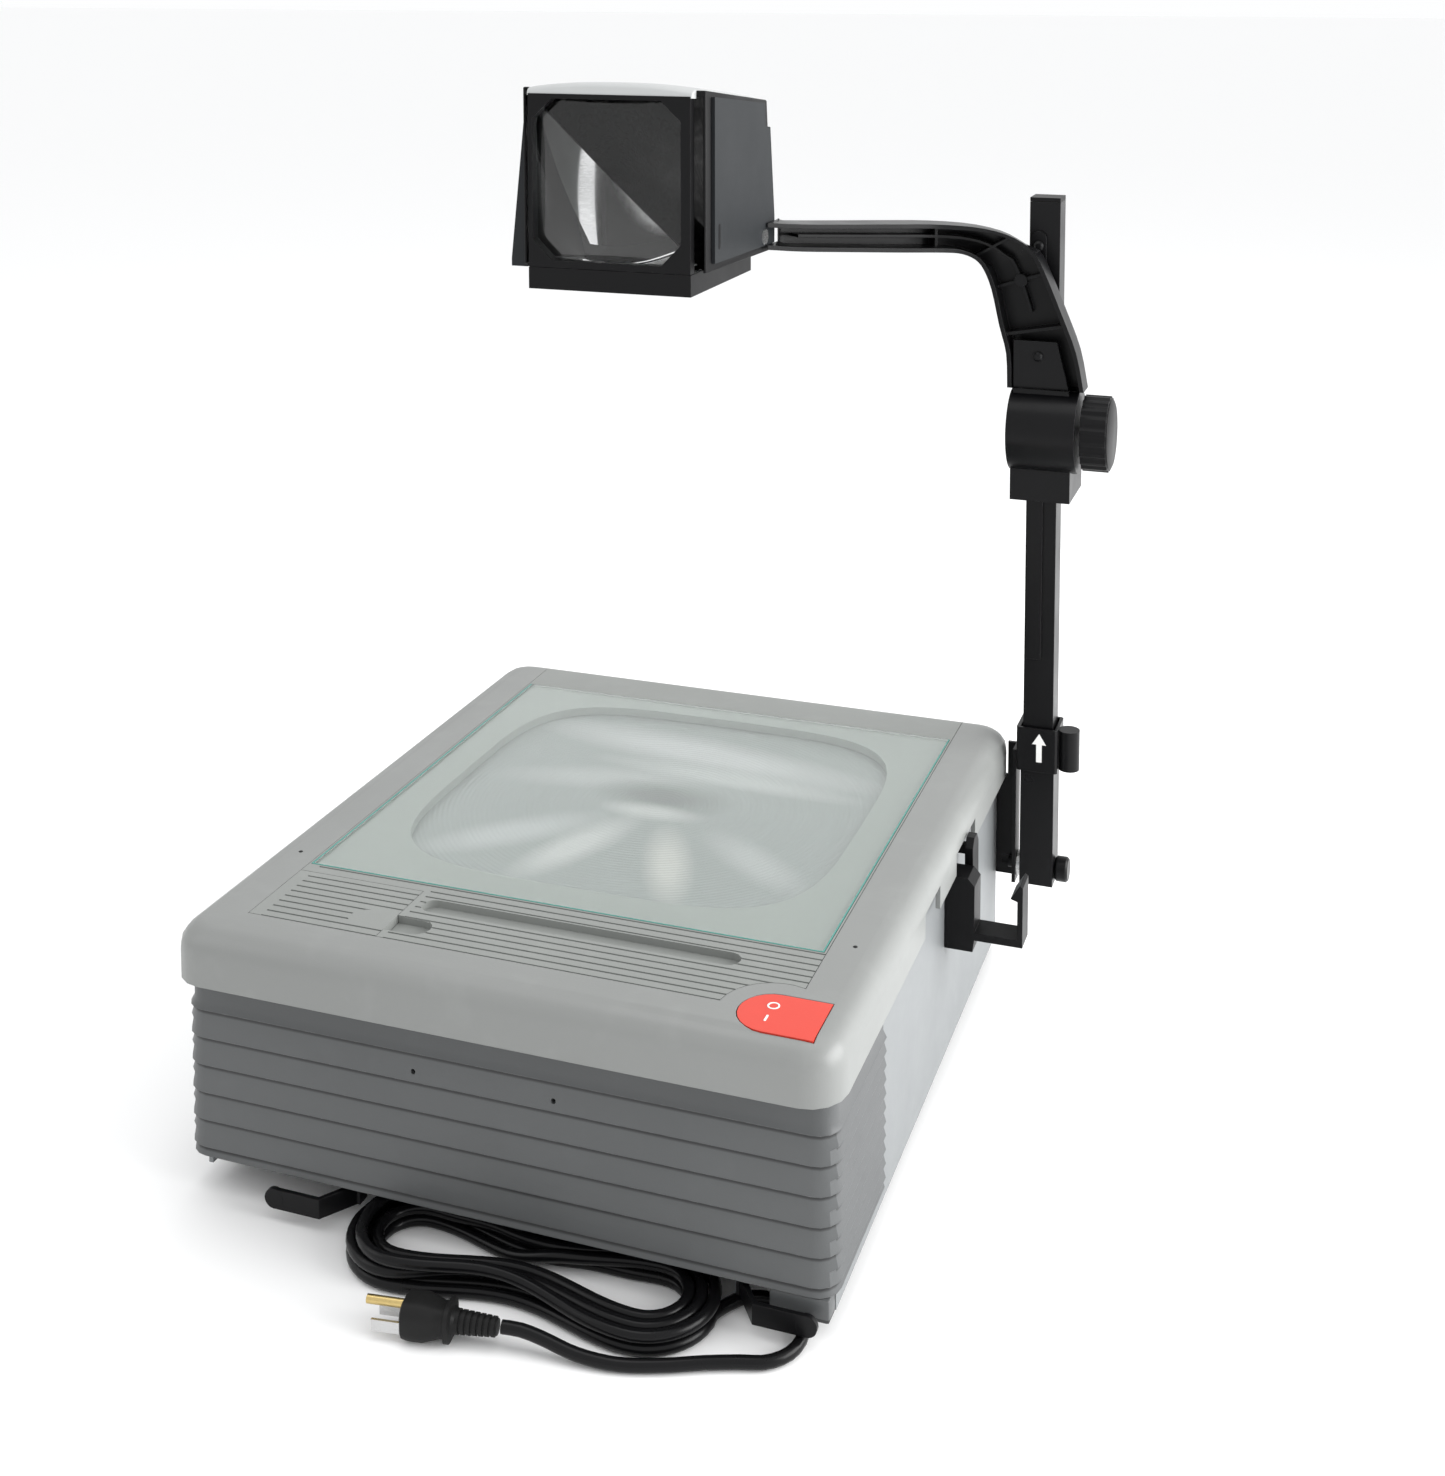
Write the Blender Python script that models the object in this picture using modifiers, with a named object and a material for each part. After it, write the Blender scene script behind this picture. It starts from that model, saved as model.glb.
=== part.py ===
"""Overhead projector with a folding corner post, a focusing carriage and a closed mirror head.

Lengths are in millimetres and are turned into metres where a mesh is made. X runs to the right,
Y to the back and Z up, from the middle of the base and the surface that it stands on.
"""
import math

import bmesh
import bpy
from mathutils import Matrix, Vector

MM = 0.001
GAP = 0.3

# Base and stage
BASE_SHIFT_X = -38.15
HALF_W, HALF_D = 203.5, 235.2
TOP_Z, SKIRT_Z = 167.3, 135.8
BODY_Z = 10.0
WALL_X, WALL_REAR_Y, WALL = 195.6, 231.0, 3.0
LID_X, LID_FRONT_Y, LID_Z = 168.0, -202.0, 157.3
LID_HINGE = (0, HALF_D, LID_Z - 0.2)
GLASS_X, GLASS_FRONT_Y, GLASS_REAR_Y, GLASS_Z = 166.9, -134.8, 188.6, 163.1
STAGE_Y, STAGE_A, STAGE_B = 33.0, 142.5, 140.0
FLAP_X, FLAP_REAR_Y, FLAP_Z = -83.4, -144.4, 161.3
GROOVE_FIRST_Y, GROOVE_PITCH, GROOVES = -136.6, 6.54, 11
SWITCH_X, SWITCH_Y, SWITCH_R = 158.5, -205.0, 19.0
SWITCH_EDGE_X, SWITCH_CUT_R = 187.0, 31.2

HOOK_LOW_Z, HOOK_HIGH_Z = 8.4, 20.0

# Ribbed front panel
RIB_TOP_Z, RIB_PITCH, SIDE_RIBS = 114.0, 8.45, 11
PANEL_X, PANEL_Y, PANEL_REAR_Y = 195.9, -218.8, -117.5
PANEL_LEFT = 3.0
PANEL_LOW_Z, PANEL_HIGH_Z = 23.6, 141.0
RIB_BASE, RIB_TIP, PANEL_CORNER = 1.3, 3.5, 10.5

# Post, carriage and head
POST_X, POST_Y, POST_TOP_Z = 228.0, 214.0, 563.5
SLEEVE_HALF, TUBE_HALF, TUBE_WALL = 12.0, 10.75, 2.0
SLEEVE_LOW_Z, SLEEVE_HIGH_Z = 61.5, 156.0
PIVOT_Z = 71.0
BARREL_Y, BARREL_Z, BARREL_R = 190.0, 401.0, 29.3
BARREL_X0, BARREL_X1 = 209.5, 257.0
PINION_R = 9.4
HEAD_Z0, HOOD_Z0, HOOD_Z1 = 523.0, 537.0, 650.0
HEAD_Y0, HEAD_Y1 = -48.0, 68.0
LENS_Y = 12.0
TILT_Y, TILT_Z = 54.0, 548.0

LAMP_PITCH = 18.0

# Cord
CORD_D = 7.0
CORD_Z = 3.9

# Front edges of the arm, from the carriage to the head: outer x and z, inner x and z, y, depth
ARM_STATIONS = [
    (261.0, 432.0, 207.6, 432.0, 176.0, 20.0),
    (255.5, 459.0, 206.6, 456.0, 176.0, 20.0),
    (245.0, 486.0, 201.5, 475.5, 176.0, 20.0),
    (233.6, 513.0, 195.8, 500.5, 176.0, 20.0),
    (225.5, 527.5, 190.0, 514.5, 176.0, 20.0),
    (212.5, 538.0, 184.8, 521.5, 173.0, 21.0),
    (192.3, 544.5, 176.6, 526.0, 167.0, 23.0),
    (166.0, 547.5, 166.0, 528.0, 156.0, 25.0),
    (140.4, 549.5, 140.4, 530.0, 133.0, 26.0),
    (113.0, 551.8, 113.0, 533.0, 104.0, 26.0),
    (88.0, 554.3, 88.0, 536.0, 76.0, 26.0),
    (70.0, 557.0, 70.0, 539.1, 56.0, 26.0),
]
ARM_WALL = 3.0
ARM_STEPS = 3
ARM_RIB = 1.1

COLOURS = {
    "light_grey": ((0.42, 0.43, 0.41), 0.55, 0.0),
    "dark_grey": ((0.10, 0.11, 0.11), 0.5, 0.0),
    "black": ((0.012, 0.012, 0.014), 0.4, 0.0),
    "rubber": ((0.02, 0.02, 0.02), 0.8, 0.0),
    "red": ((0.6, 0.03, 0.02), 0.4, 0.0),
    "glass": ((0.8, 0.9, 0.88), 0.03, 0.0),
    "steel": ((0.55, 0.55, 0.55), 0.3, 1.0),
    "brass": ((0.65, 0.5, 0.2), 0.3, 1.0),
    "mirror": ((0.9, 0.9, 0.9), 0.02, 1.0),
}


def clear_scene():
    for obj in list(bpy.data.objects):
        bpy.data.objects.remove(obj, do_unlink=True)


def collection(name):
    made = bpy.data.collections.new(name)
    bpy.context.scene.collection.children.link(made)
    return made


def material(name):
    found = bpy.data.materials.get(name)
    if found:
        return found
    colour, roughness, metallic = COLOURS[name]
    made = bpy.data.materials.new(name)
    made.use_nodes = True
    shader = made.node_tree.nodes["Principled BSDF"]
    shader.inputs["Base Color"].default_value = (*colour, 1.0)
    shader.inputs["Roughness"].default_value = roughness
    shader.inputs["Metallic"].default_value = metallic
    return made


def add(name, mesh, finish=None, origin=(0, 0, 0)):
    """An object from a mesh in millimetres. With no finish it is a cutter."""
    mesh.transform(Matrix.Translation(Vector(origin) * -1))
    mesh.transform(Matrix.Scale(MM, 4))
    obj = bpy.data.objects.new(name, mesh)
    obj.location = Vector(origin) * MM
    obj.parent = ROOT
    if finish:
        PARTS.objects.link(obj)
        mesh.materials.append(material(finish))
        mesh.shade_smooth()
        mesh.set_sharp_from_angle(angle=math.radians(35))
    else:
        CUTTERS.objects.link(obj)
        obj.hide_render = True
        obj.display_type = "WIRE"
    return obj


def mesh_of(bm):
    bmesh.ops.recalc_face_normals(bm, faces=bm.faces)
    if bm.calc_volume(signed=True) < 0:
        bmesh.ops.reverse_faces(bm, faces=bm.faces)
    mesh = bpy.data.meshes.new("solid")
    bm.to_mesh(mesh)
    bm.free()
    return mesh


def box_into(bm, low, high):
    size = [b - a for a, b in zip(low, high)]
    middle = [(a + b) / 2 for a, b in zip(low, high)]
    place = Matrix.Translation(middle) @ Matrix.Diagonal((*size, 1))
    return bmesh.ops.create_cube(bm, size=1, matrix=place)["verts"]


def boxes(*corners):
    bm = bmesh.new()
    for low, high in corners:
        box_into(bm, low, high)
    return mesh_of(bm)


def turn_to(axis):
    """Turns +Z to the axis."""
    turns = {
        "Z": Matrix(),
        "X": Matrix.Rotation(math.pi / 2, 4, "Y"),
        "Y": Matrix.Rotation(-math.pi / 2, 4, "X"),
    }
    return turns[axis]


def rods(*rows, axis="X", segments=24):
    """Cylinders, each given as centre of one end, radius and length along the axis."""
    bm = bmesh.new()
    for start, radius, length in rows:
        place = Matrix.Translation(start) @ turn_to(axis) @ Matrix.Translation((0, 0, length / 2))
        bmesh.ops.create_cone(
            bm, cap_ends=True, segments=segments, radius1=radius, radius2=radius, depth=length, matrix=place
        )
    return mesh_of(bm)


def turned(profile, place, steps=32):
    """A solid of revolution about Z from (radius, height) pairs, top to bottom, placed by a matrix."""
    bm = bmesh.new()
    row = [bm.verts.new((radius, 0, height)) for radius, height in profile]
    edges = [bm.edges.new(pair) for pair in zip(row, row[1:])]
    bmesh.ops.spin(
        bm, geom=row + edges, cent=(0, 0, 0), axis=(0, 0, 1), angle=math.tau, steps=steps, use_merge=True
    )
    bmesh.ops.remove_doubles(bm, verts=bm.verts, dist=0.001)
    bm.transform(place)
    return mesh_of(bm)


def prism(outlines, low, high, axis="Z"):
    """A flat outline, with any holes as further outlines, filled and extruded from low to high."""
    curve = bpy.data.curves.new("outline", "CURVE")
    curve.dimensions = "2D"
    curve.fill_mode = "BOTH"
    curve.extrude = (high - low) / 2
    for outline in outlines:
        spline = curve.splines.new("POLY")
        spline.points.add(len(outline) - 1)
        for point, (u, v) in zip(spline.points, outline):
            point.co = (u, v, 0, 1)
        spline.use_cyclic_u = True
    guide = bpy.data.objects.new("outline", curve)
    CUTTERS.objects.link(guide)
    bpy.context.view_layer.update()
    solid = bpy.data.meshes.new_from_object(guide.evaluated_get(bpy.context.evaluated_depsgraph_get()))
    bpy.data.objects.remove(guide, do_unlink=True)
    bm = bmesh.new()
    bm.from_mesh(solid)
    bmesh.ops.remove_doubles(bm, verts=bm.verts, dist=0.001)
    turn = {
        "Z": Matrix(),
        "X": Matrix(((0, 0, 1, 0), (1, 0, 0, 0), (0, 1, 0, 0), (0, 0, 0, 1))),
        "Y": Matrix(((1, 0, 0, 0), (0, 0, -1, 0), (0, 1, 0, 0), (0, 0, 0, 1))),
    }[axis]
    side = -1 if axis == "Y" else 1
    bm.transform(turn @ Matrix.Translation((0, 0, side * (low + high) / 2)))
    return mesh_of(bm)


def combine(obj, cutter, operation="DIFFERENCE"):
    modifier = obj.modifiers.new(cutter.name, "BOOLEAN")
    modifier.object = cutter
    modifier.operation = operation
    return obj


def cut(obj, mesh, name):
    return combine(obj, add(obj.name + "_" + name, mesh))


def join(obj, mesh, name):
    return combine(obj, add(obj.name + "_" + name, mesh), "UNION")


def round_edges(obj, width, segments=2, angle=50):
    modifier = obj.modifiers.new("rounded", "BEVEL")
    modifier.width = width * MM
    modifier.segments = segments
    modifier.limit_method = "ANGLE"
    modifier.angle_limit = math.radians(angle)
    return obj


def arc(cx, cy, radius, start, end, steps):
    """Points on an arc, with the angles in degrees."""
    angles = [math.radians(start + (end - start) * i / steps) for i in range(steps + 1)]
    return [(cx + radius * math.cos(a), cy + radius * math.sin(a)) for a in angles]


def rounded_rectangle(x0, x1, y0, y1, radius, steps=4):
    return (
        arc(x1 - radius, y1 - radius, radius, 0, 90, steps)
        + arc(x0 + radius, y1 - radius, radius, 90, 180, steps)
        + arc(x0 + radius, y0 + radius, radius, 180, 270, steps)
        + arc(x1 - radius, y0 + radius, radius, 270, 360, steps)
    )


def slot(x0, x1, y0, y1, steps=6):
    """A rectangle whose two ends, left and right, are half circles."""
    radius = (y1 - y0) / 2
    middle = (y0 + y1) / 2
    return arc(x1 - radius, middle, radius, -90, 90, steps) + arc(x0 + radius, middle, radius, 90, 270, steps)


def cover_block(inset, low_z, high_z):
    """The outer block of the top cover, with rounded corners and a rounded top edge."""
    bm = bmesh.new()
    box_into(bm, (-HALF_W + inset, -HALF_D + inset, low_z), (HALF_W - inset, HALF_D - inset, high_z))
    upright = [e for e in bm.edges if abs(e.verts[0].co.z - e.verts[1].co.z) > 1]
    bmesh.ops.bevel(bm, geom=upright, offset=22 - inset, segments=4, profile=0.5, affect="EDGES")
    top = [e for e in bm.edges if all(v.co.z > high_z - 0.01 for v in e.verts)]
    bmesh.ops.bevel(bm, geom=top, offset=14 - inset, segments=4, profile=0.5, affect="EDGES")
    return mesh_of(bm)


def stage_outline(gap, rear_y):
    """The lid and lamp door together, cut round the switch at the front right."""
    radius = SWITCH_CUT_R - gap
    start = 180 - math.degrees(math.asin((LID_FRONT_Y - gap - SWITCH_Y) / radius))
    end = math.degrees(math.acos((LID_X + gap - SWITCH_X) / radius))
    return (
        [(-LID_X - gap, rear_y), (-LID_X - gap, LID_FRONT_Y - gap)]
        + arc(SWITCH_X, SWITCH_Y, radius, start, end, 8)
        + [(LID_X + gap, rear_y)]
    )


def switch_outline(gap):
    radius = SWITCH_R + gap
    edge = SWITCH_EDGE_X + gap
    return arc(SWITCH_X, SWITCH_Y, radius, 90, 270, 12) + [(edge, SWITCH_Y - radius), (edge, SWITCH_Y + radius)]


def stage_opening():
    """A square with bowed sides and wide round corners."""
    power = 2 / 4.2
    points = []
    for i in range(48):
        angle = math.tau * i / 48
        x = math.copysign(abs(math.cos(angle)) ** power, math.cos(angle)) * STAGE_A
        y = math.copysign(abs(math.sin(angle)) ** power, math.sin(angle)) * STAGE_B
        points.append((x, y + STAGE_Y))
    return points


def groove_boxes(x0, x1, first, last):
    rows = []
    for i in range(first, last):
        y = GROOVE_FIRST_Y - GROOVE_PITCH * i
        rows.append(((x0, y - 0.7, TOP_Z - 0.9), (x1, y + 0.7, TOP_Z + 5)))
    return boxes(*rows)


def top_cover():
    cover = add("top_cover", cover_block(0, SKIRT_Z, TOP_Z), "light_grey")
    cut(cover, cover_block(WALL, SKIRT_Z - 20, TOP_Z - WALL), "inside")
    cut(cover, prism([stage_outline(0.4, HALF_D + 5)], LID_Z - 0.4, TOP_Z + 8), "stage")
    cut(cover, prism([switch_outline(0.6)], TOP_Z - 12, TOP_Z + 8), "switch")
    windows = boxes(((198, -41, 130), (210, -1, 151)), ((198, 46, 130), (210, 104, 150)))
    cut(cover, windows, "side_windows")


def stage_lid():
    hood = add("stage_lid_block", cover_block(0, LID_Z - 10, TOP_Z))
    lid = add("stage_lid", prism([stage_outline(0, HALF_D + 3)], LID_Z, TOP_Z + 4), "light_grey", LID_HINGE)
    combine(lid, hood, "INTERSECT")
    door = boxes(((-LID_X - 5, LID_FRONT_Y - 5, LID_Z - 5), (FLAP_X + 0.4, FLAP_REAR_Y + 0.4, TOP_Z + 8)))
    cut(lid, door, "door_corner")
    glass = boxes(((-GLASS_X, GLASS_FRONT_Y, GLASS_Z), (GLASS_X, GLASS_REAR_Y, TOP_Z + 8)))
    cut(lid, glass, "glass_pocket")
    cut(lid, prism([stage_opening()], LID_Z - 5, TOP_Z + 8), "opening")
    cut(lid, groove_boxes(-160, 172, 0, 1), "first_groove")
    cut(lid, groove_boxes(-79, 172, 1, GROOVES), "grooves")
    cut(lid, prism([slot(-76, 125, -166, -151.5)], TOP_Z - 4.5, TOP_Z + 8), "pen_tray")
    cut(lid, prism([slot(-100, -57, -193.5, -175.5)], TOP_Z - 5, TOP_Z + 8), "finger_recess")


def lamp_door():
    outline = [(-LID_X, LID_FRONT_Y), (FLAP_X, LID_FRONT_Y), (FLAP_X, FLAP_REAR_Y), (-LID_X, FLAP_REAR_Y)]
    door = add("lamp_door", prism([outline], FLAP_Z, TOP_Z), "light_grey", (-LID_X - 0.2, -173, TOP_Z + 0.2))
    grooves = add("lamp_door_grooves", groove_boxes(-160, -70, 2, GROOVES))
    pad = arc(-100.5, -184.5, 9.5, 90, 270, 8) + [(-60, -194), (-60, -175)]
    cut(grooves, prism([pad], TOP_Z - 3, TOP_Z + 9), "thumb_pad")
    combine(door, grooves)


def stage_glass():
    glass = boxes(
        ((-GLASS_X + GAP, GLASS_FRONT_Y + GAP, GLASS_Z + GAP), (GLASS_X - GAP, GLASS_REAR_Y - GAP, TOP_Z))
    )
    add("stage_glass", glass, "glass", LID_HINGE)


def fresnel_lens():
    sheet = boxes(((-151, STAGE_Y - 148, LID_Z - 3.4), (151, STAGE_Y + 148, LID_Z - 0.4)))
    add("fresnel_lens", sheet, "glass", LID_HINGE)


def base_shell():
    def wall_path(inset):
        x = WALL_X - inset
        y = WALL_REAR_Y - inset
        radius = 12 - inset
        return arc(x - radius, y - radius, radius, 0, 90, 4) + arc(-x + radius, y - radius, radius, 90, 180, 4)

    front = -208.0
    outer = [(WALL_X, front)] + wall_path(0) + [(-WALL_X, front)]
    inner = [(WALL_X - WALL, front)] + wall_path(WALL) + [(-WALL_X + WALL, front)]
    shell = add("base_shell", prism([outer + inner[::-1]], BODY_Z, LID_Z - 1.3), "light_grey")
    vents = [((-150 + 14 * i, 220, 46), (-145 + 14 * i, 240, 114)) for i in range(9)]
    lever = ((185, 50, 139), (205, 100, 149))
    cut(shell, boxes(lever, *vents), "openings")


def base_pan():
    profile = [
        (226, 12), (226, 14.5), (-147.5, 14.5), (-147.5, 33.5), (-147.7, 36),
        (-216, 36), (-216, 33.5), (-150, 33.5), (-150, 12),
    ]
    add("base_pan", prism([profile], -187, 187, "X"), "black")


def corner_block():
    """The block under the front right corner, in front of the wall."""
    block = add("corner_block", boxes(((162, -221, BODY_Z), (WALL_X, -208.4, 23.2))), "dark_grey")
    round_edges(block, 1.5)


def rubber_feet():
    for x, x_name in ((-165, "left"), (165, "right")):
        for y, y_name in ((-130, "front"), (205, "rear")):
            foot = rods(((x, y, 0), 11, 11.7), axis="Z", segments=20)
            add(f"rubber_foot_{y_name}_{x_name}", foot, "rubber")


def panel_rows():
    """Heights of the panel's rows, each with its offset on the sides and on the front."""
    rows = [(PANEL_HIGH_Z, RIB_BASE, RIB_BASE), (RIB_TOP_Z + 4, RIB_BASE, RIB_BASE)]
    for i in range(SIDE_RIBS):
        z = RIB_TOP_Z - RIB_PITCH * i
        if i % 2 == 0:
            rows += [(z, RIB_TIP, RIB_TIP), (z - 1.0, RIB_BASE, RIB_BASE)]
        else:
            middle = (RIB_TIP + RIB_BASE) / 2
            rows += [(z, RIB_TIP, middle), (z - 1.0, RIB_BASE, middle + 0.1)]
    rows.append((PANEL_LOW_Z, RIB_TIP - 0.6, RIB_TIP - 0.6))
    return rows


def front_panel():
    """Overlapping boards across the front, doubled to narrow fins where they wrap the sides."""
    columns = [(PANEL_X, PANEL_REAR_Y, 1, 0, 0), (PANEL_X, PANEL_Y + PANEL_CORNER, 1, 0, 0)]
    for i in range(1, 5):
        angle = -math.pi / 2 * i / 4
        x = PANEL_X - PANEL_CORNER + PANEL_CORNER * math.cos(angle)
        y = PANEL_Y + PANEL_CORNER + PANEL_CORNER * math.sin(angle)
        columns.append((x, y, math.cos(angle), math.sin(angle), int(i > 1)))
    columns += [(-x - PANEL_LEFT, y, -nx, ny, front) for x, y, nx, ny, front in reversed(columns)]
    bm = bmesh.new()
    outside, inside = [], []
    for x, y, nx, ny, front in columns:
        column = [(x + nx * r[1 + front], y + ny * r[1 + front], r[0]) for r in panel_rows()]
        outside.append([bm.verts.new(place) for place in column])
        inside.append([bm.verts.new((x, y, z)) for z in (PANEL_HIGH_Z, PANEL_LOW_Z)])
    for a, b, p, q in zip(outside, outside[1:], inside, inside[1:]):
        for i in range(len(a) - 1):
            bm.faces.new((a[i], a[i + 1], b[i + 1], b[i]))
        bm.faces.new((p[0], q[0], q[1], p[1]))
        bm.faces.new((a[0], b[0], q[0], p[0]))
        bm.faces.new((a[-1], p[1], q[1], b[-1]))
    bm.faces.new(outside[0] + inside[0][::-1])
    bm.faces.new(outside[-1][::-1] + inside[-1])
    panel = add("front_panel", mesh_of(bm), "dark_grey")
    holes = rods(((-49.4, -230, 102.8), 1.5, 20), ((37.3, -230, 102.8), 1.5, 20), axis="Y", segments=10)
    cut(panel, holes, "holes")


def cord_hooks():
    """Two bent straps under the front that the cord is stowed between."""
    for side, x, name in ((-1, -107.0, "left"), (1, 157.0, "right")):
        strap = [
            (x + side * 29, -231.4), (x - side * 1, -231.4), (x - side * 16, -210), (x - side * 13.5, -208.5),
            (x + side * 0.6, -228.7), (x + side * 29, -228.7),
        ]
        hook = add(f"cord_hook_{name}", prism([strap], HOOK_LOW_Z, HOOK_HIGH_Z), "black")
        x0, x1 = sorted((x - side * 16.5, x - side * 11.5))
        join(hook, boxes(((x0, -212, HOOK_LOW_Z), (x1, -204, 33.2))), "post")
        tab = rods(((x + side * 29, -231.5, HOOK_LOW_Z + 6), 6.0, 2.9), axis="Y", segments=24)
        join(hook, tab, "tab")


def power_switch():
    block = boxes(((141, -222, TOP_Z - 26), (184, -188, TOP_Z - 9)))
    add("switch_body", block, "black")
    rocker = prism([switch_outline(0)], TOP_Z - 7, TOP_Z)
    add("power_switch", rocker, "red", (SWITCH_X, SWITCH_Y, TOP_Z - 6))


def post_cradle():
    """A snap-in clip on the right wall that the folded post drops into."""
    x = WALL_X + GAP
    profile = [
        (x, 86.0), (214.5, 86.0), (215.5, 94.0), (247.0, 94.0), (247.0, 134.0), (245.0, 135.5), (239.0, 126.0),
        (243.5, 124.5), (243.5, 99.0), (215.5, 99.0), (215.5, 130.0), (211.0, 135.0), (x, 135.0),
    ]
    add("post_cradle", prism([profile], 46, 65.5, "Y"), "black")


def lamp_changer():
    """An outside lever joined by a link to a tray that carries the lamp in use and the spare."""
    outline = [
        (73, 97), (79, 97), (85, 115), (84, 145), (79, 151.5), (71, 151.5), (66, 146), (67, 131), (74, 121),
    ]
    lever = add("lamp_change_lever", prism([outline], 204.5, 210, "X"), "black")
    join(lever, boxes(((180, 68, 141), (205, 74, 147))), "finger")
    round_edges(lever, 0.8, 1)
    link = add("changer_link", boxes(((170, 69, 30), (174, 73, 147))), "steel")
    join(link, boxes(((36, 69, 30), (174, 73, 34))), "foot")
    join(link, boxes(((170, 69, 143), (179.7, 73, 147))), "reach")
    tray = add("lamp_tray", boxes(((-24, STAGE_Y - 40, 28), (35.7, STAGE_Y + 42, 36))), "steel")
    places = (("lamp_in_use", STAGE_Y), ("lamp_spare", STAGE_Y - LAMP_PITCH))
    cut(tray, rods(*(((0, y, 20), 5.4, 30) for _, y in places), axis="Z", segments=16), "sockets")
    for name, y in places:
        profile = [(0, 72), (4, 70.5), (6, 66), (6, 46), (5, 42), (5, 28.5), (0, 28.5)]
        add(name, turned(profile, Matrix.Translation((0, y, 0)), 16), "glass")


def condenser():
    place = Matrix.Translation((0, STAGE_Y, 0))
    lens = [(0, 110), (16, 109), (32, 106), (46, 101), (52, 98), (52, 94), (0, 94)]
    add("condenser_lens", turned(lens, place, 24), "glass")
    bracket = add("condenser_bracket", boxes(((-70, STAGE_Y - 70, 90), (70, STAGE_Y + 70, 93.7))), "steel")
    cut(bracket, rods(((0, STAGE_Y, 80), 48, 30), axis="Z", segments=24), "light_hole")
    legs = [((x0, STAGE_Y - 69, 14.8), (x0 + 4, STAGE_Y - 50, 92)) for x0 in (-70, 66)]
    join(bracket, boxes(*legs), "legs")
    bowl = [(0, 16.4), (16, 17.2), (30, 20.4), (40, 26), (42, 26), (31, 18.8), (17, 15.6), (0, 14.9)]
    add("lamp_reflector", turned(bowl, place, 24), "mirror")


def cooling_fan():
    x, z = -100.0, 80.0
    frame = add("fan_frame", boxes(((x - 58, 196, z - 58), (x + 58, 226, z + 58))), "black")
    cut(frame, rods(((x, 180, z), 54, 60), axis="Y", segments=32), "throat")
    join(frame, rods(((x, 221.5, z), 20, 4.2), axis="Y", segments=20), "motor_plate")
    join(frame, boxes(((x - 57, 222, z - 3), (x + 57, 225.5, z + 3))), "arm")
    rotor = add("fan_rotor", rods(((x, 199, z), 20, 22), axis="Y", segments=20), "black", (x, 210, z))
    for i in range(5):
        blade = boxes(((-13, -7, 17), (13, -5.6, 51)))
        turn = Matrix.Rotation(math.tau * i / 5, 4, "Y") @ Matrix.Rotation(math.radians(28), 4, "Z")
        blade.transform(Matrix.Translation((x, 214, z)) @ turn @ Matrix.Translation((0, 6.3, 0)))
        join(rotor, blade, f"blade_{i}")


def hinge_bracket():
    """A folded steel bracket on the right wall, whose ear carries the post's pivot."""
    x = WALL_X + GAP
    outline = [
        (x, 217), (210, 217), (210, 204), (212.5, 204), (212.5, 219.5), (x + 2.5, 219.5), (x + 2.5, 223),
        (x, 223),
    ]
    bracket = add("hinge_bracket", prism([outline], 60, 160), "black")
    cut(bracket, boxes(((190, 200, SKIRT_Z - 0.6), (204, 240, 170))), "skirt_notch")
    cut(bracket, rods(((200, POST_Y, PIVOT_Z), 4.4, 20), segments=16), "pivot_hole")
    washer = add("pivot_washer", rods(((212.8, POST_Y, PIVOT_Z), 9, 2.9), segments=20), "steel")
    cut(washer, rods(((200, POST_Y, PIVOT_Z), 4.4, 20), segments=16), "hole")


def pivot_bolt():
    """The bolt that the post folds on, with its knurled nut outside."""
    to_x = Matrix.Translation((0, POST_Y, PIVOT_Z)) @ turn_to("X")
    nut = [(0, 250), (7.5, 250), (9, 248.5), (9, 242), (7.5, 240.4), (4, 240.4), (4, 206), (0, 206)]
    add("pivot_bolt", turned(nut, to_x, 20), "steel", (POST_X, POST_Y, PIVOT_Z))


def square(half):
    return [
        (POST_X - half, POST_Y - half), (POST_X + half, POST_Y - half),
        (POST_X + half, POST_Y + half), (POST_X - half, POST_Y + half),
    ]


def post():
    pivot = (POST_X, POST_Y, PIVOT_Z)
    sleeve = prism([square(SLEEVE_HALF), square(TUBE_HALF + GAP)], SLEEVE_LOW_Z, SLEEVE_HIGH_Z)
    sleeve = add("post_sleeve", sleeve, "black", pivot)
    cut(sleeve, rods(((205, POST_Y, PIVOT_Z), 4.4, 50), segments=16), "pivot_hole")
    tube = prism([square(TUBE_HALF), square(TUBE_HALF - TUBE_WALL)], PIVOT_Z + 12, POST_TOP_Z - 3)
    add("post_tube", tube, "black", pivot)
    cap = add("post_cap", prism([square(TUBE_HALF)], POST_TOP_Z - 2.7, POST_TOP_Z), "black", pivot)
    join(cap, prism([square(TUBE_HALF - TUBE_WALL - GAP)], POST_TOP_Z - 12, POST_TOP_Z - 2), "plug")
    front = POST_Y - TUBE_HALF
    outline = arc(224.3, 534.7, 5.3, 0, 180, 8) + [(219, 230), (229.6, 230)]
    add("rack_strip", prism([outline], front - 2.6, front - GAP, "Y"), "black", pivot)
    head = [(0, 2.2), (2, 2.1), (3.4, 1), (3.6, 0), (0, 0)]
    place = Matrix.Translation((224.3, front - 2.9, 529.6)) @ Matrix.Rotation(math.pi / 2, 4, "X")
    add("rack_screw", turned(head, place, 14), "steel", pivot)


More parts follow.
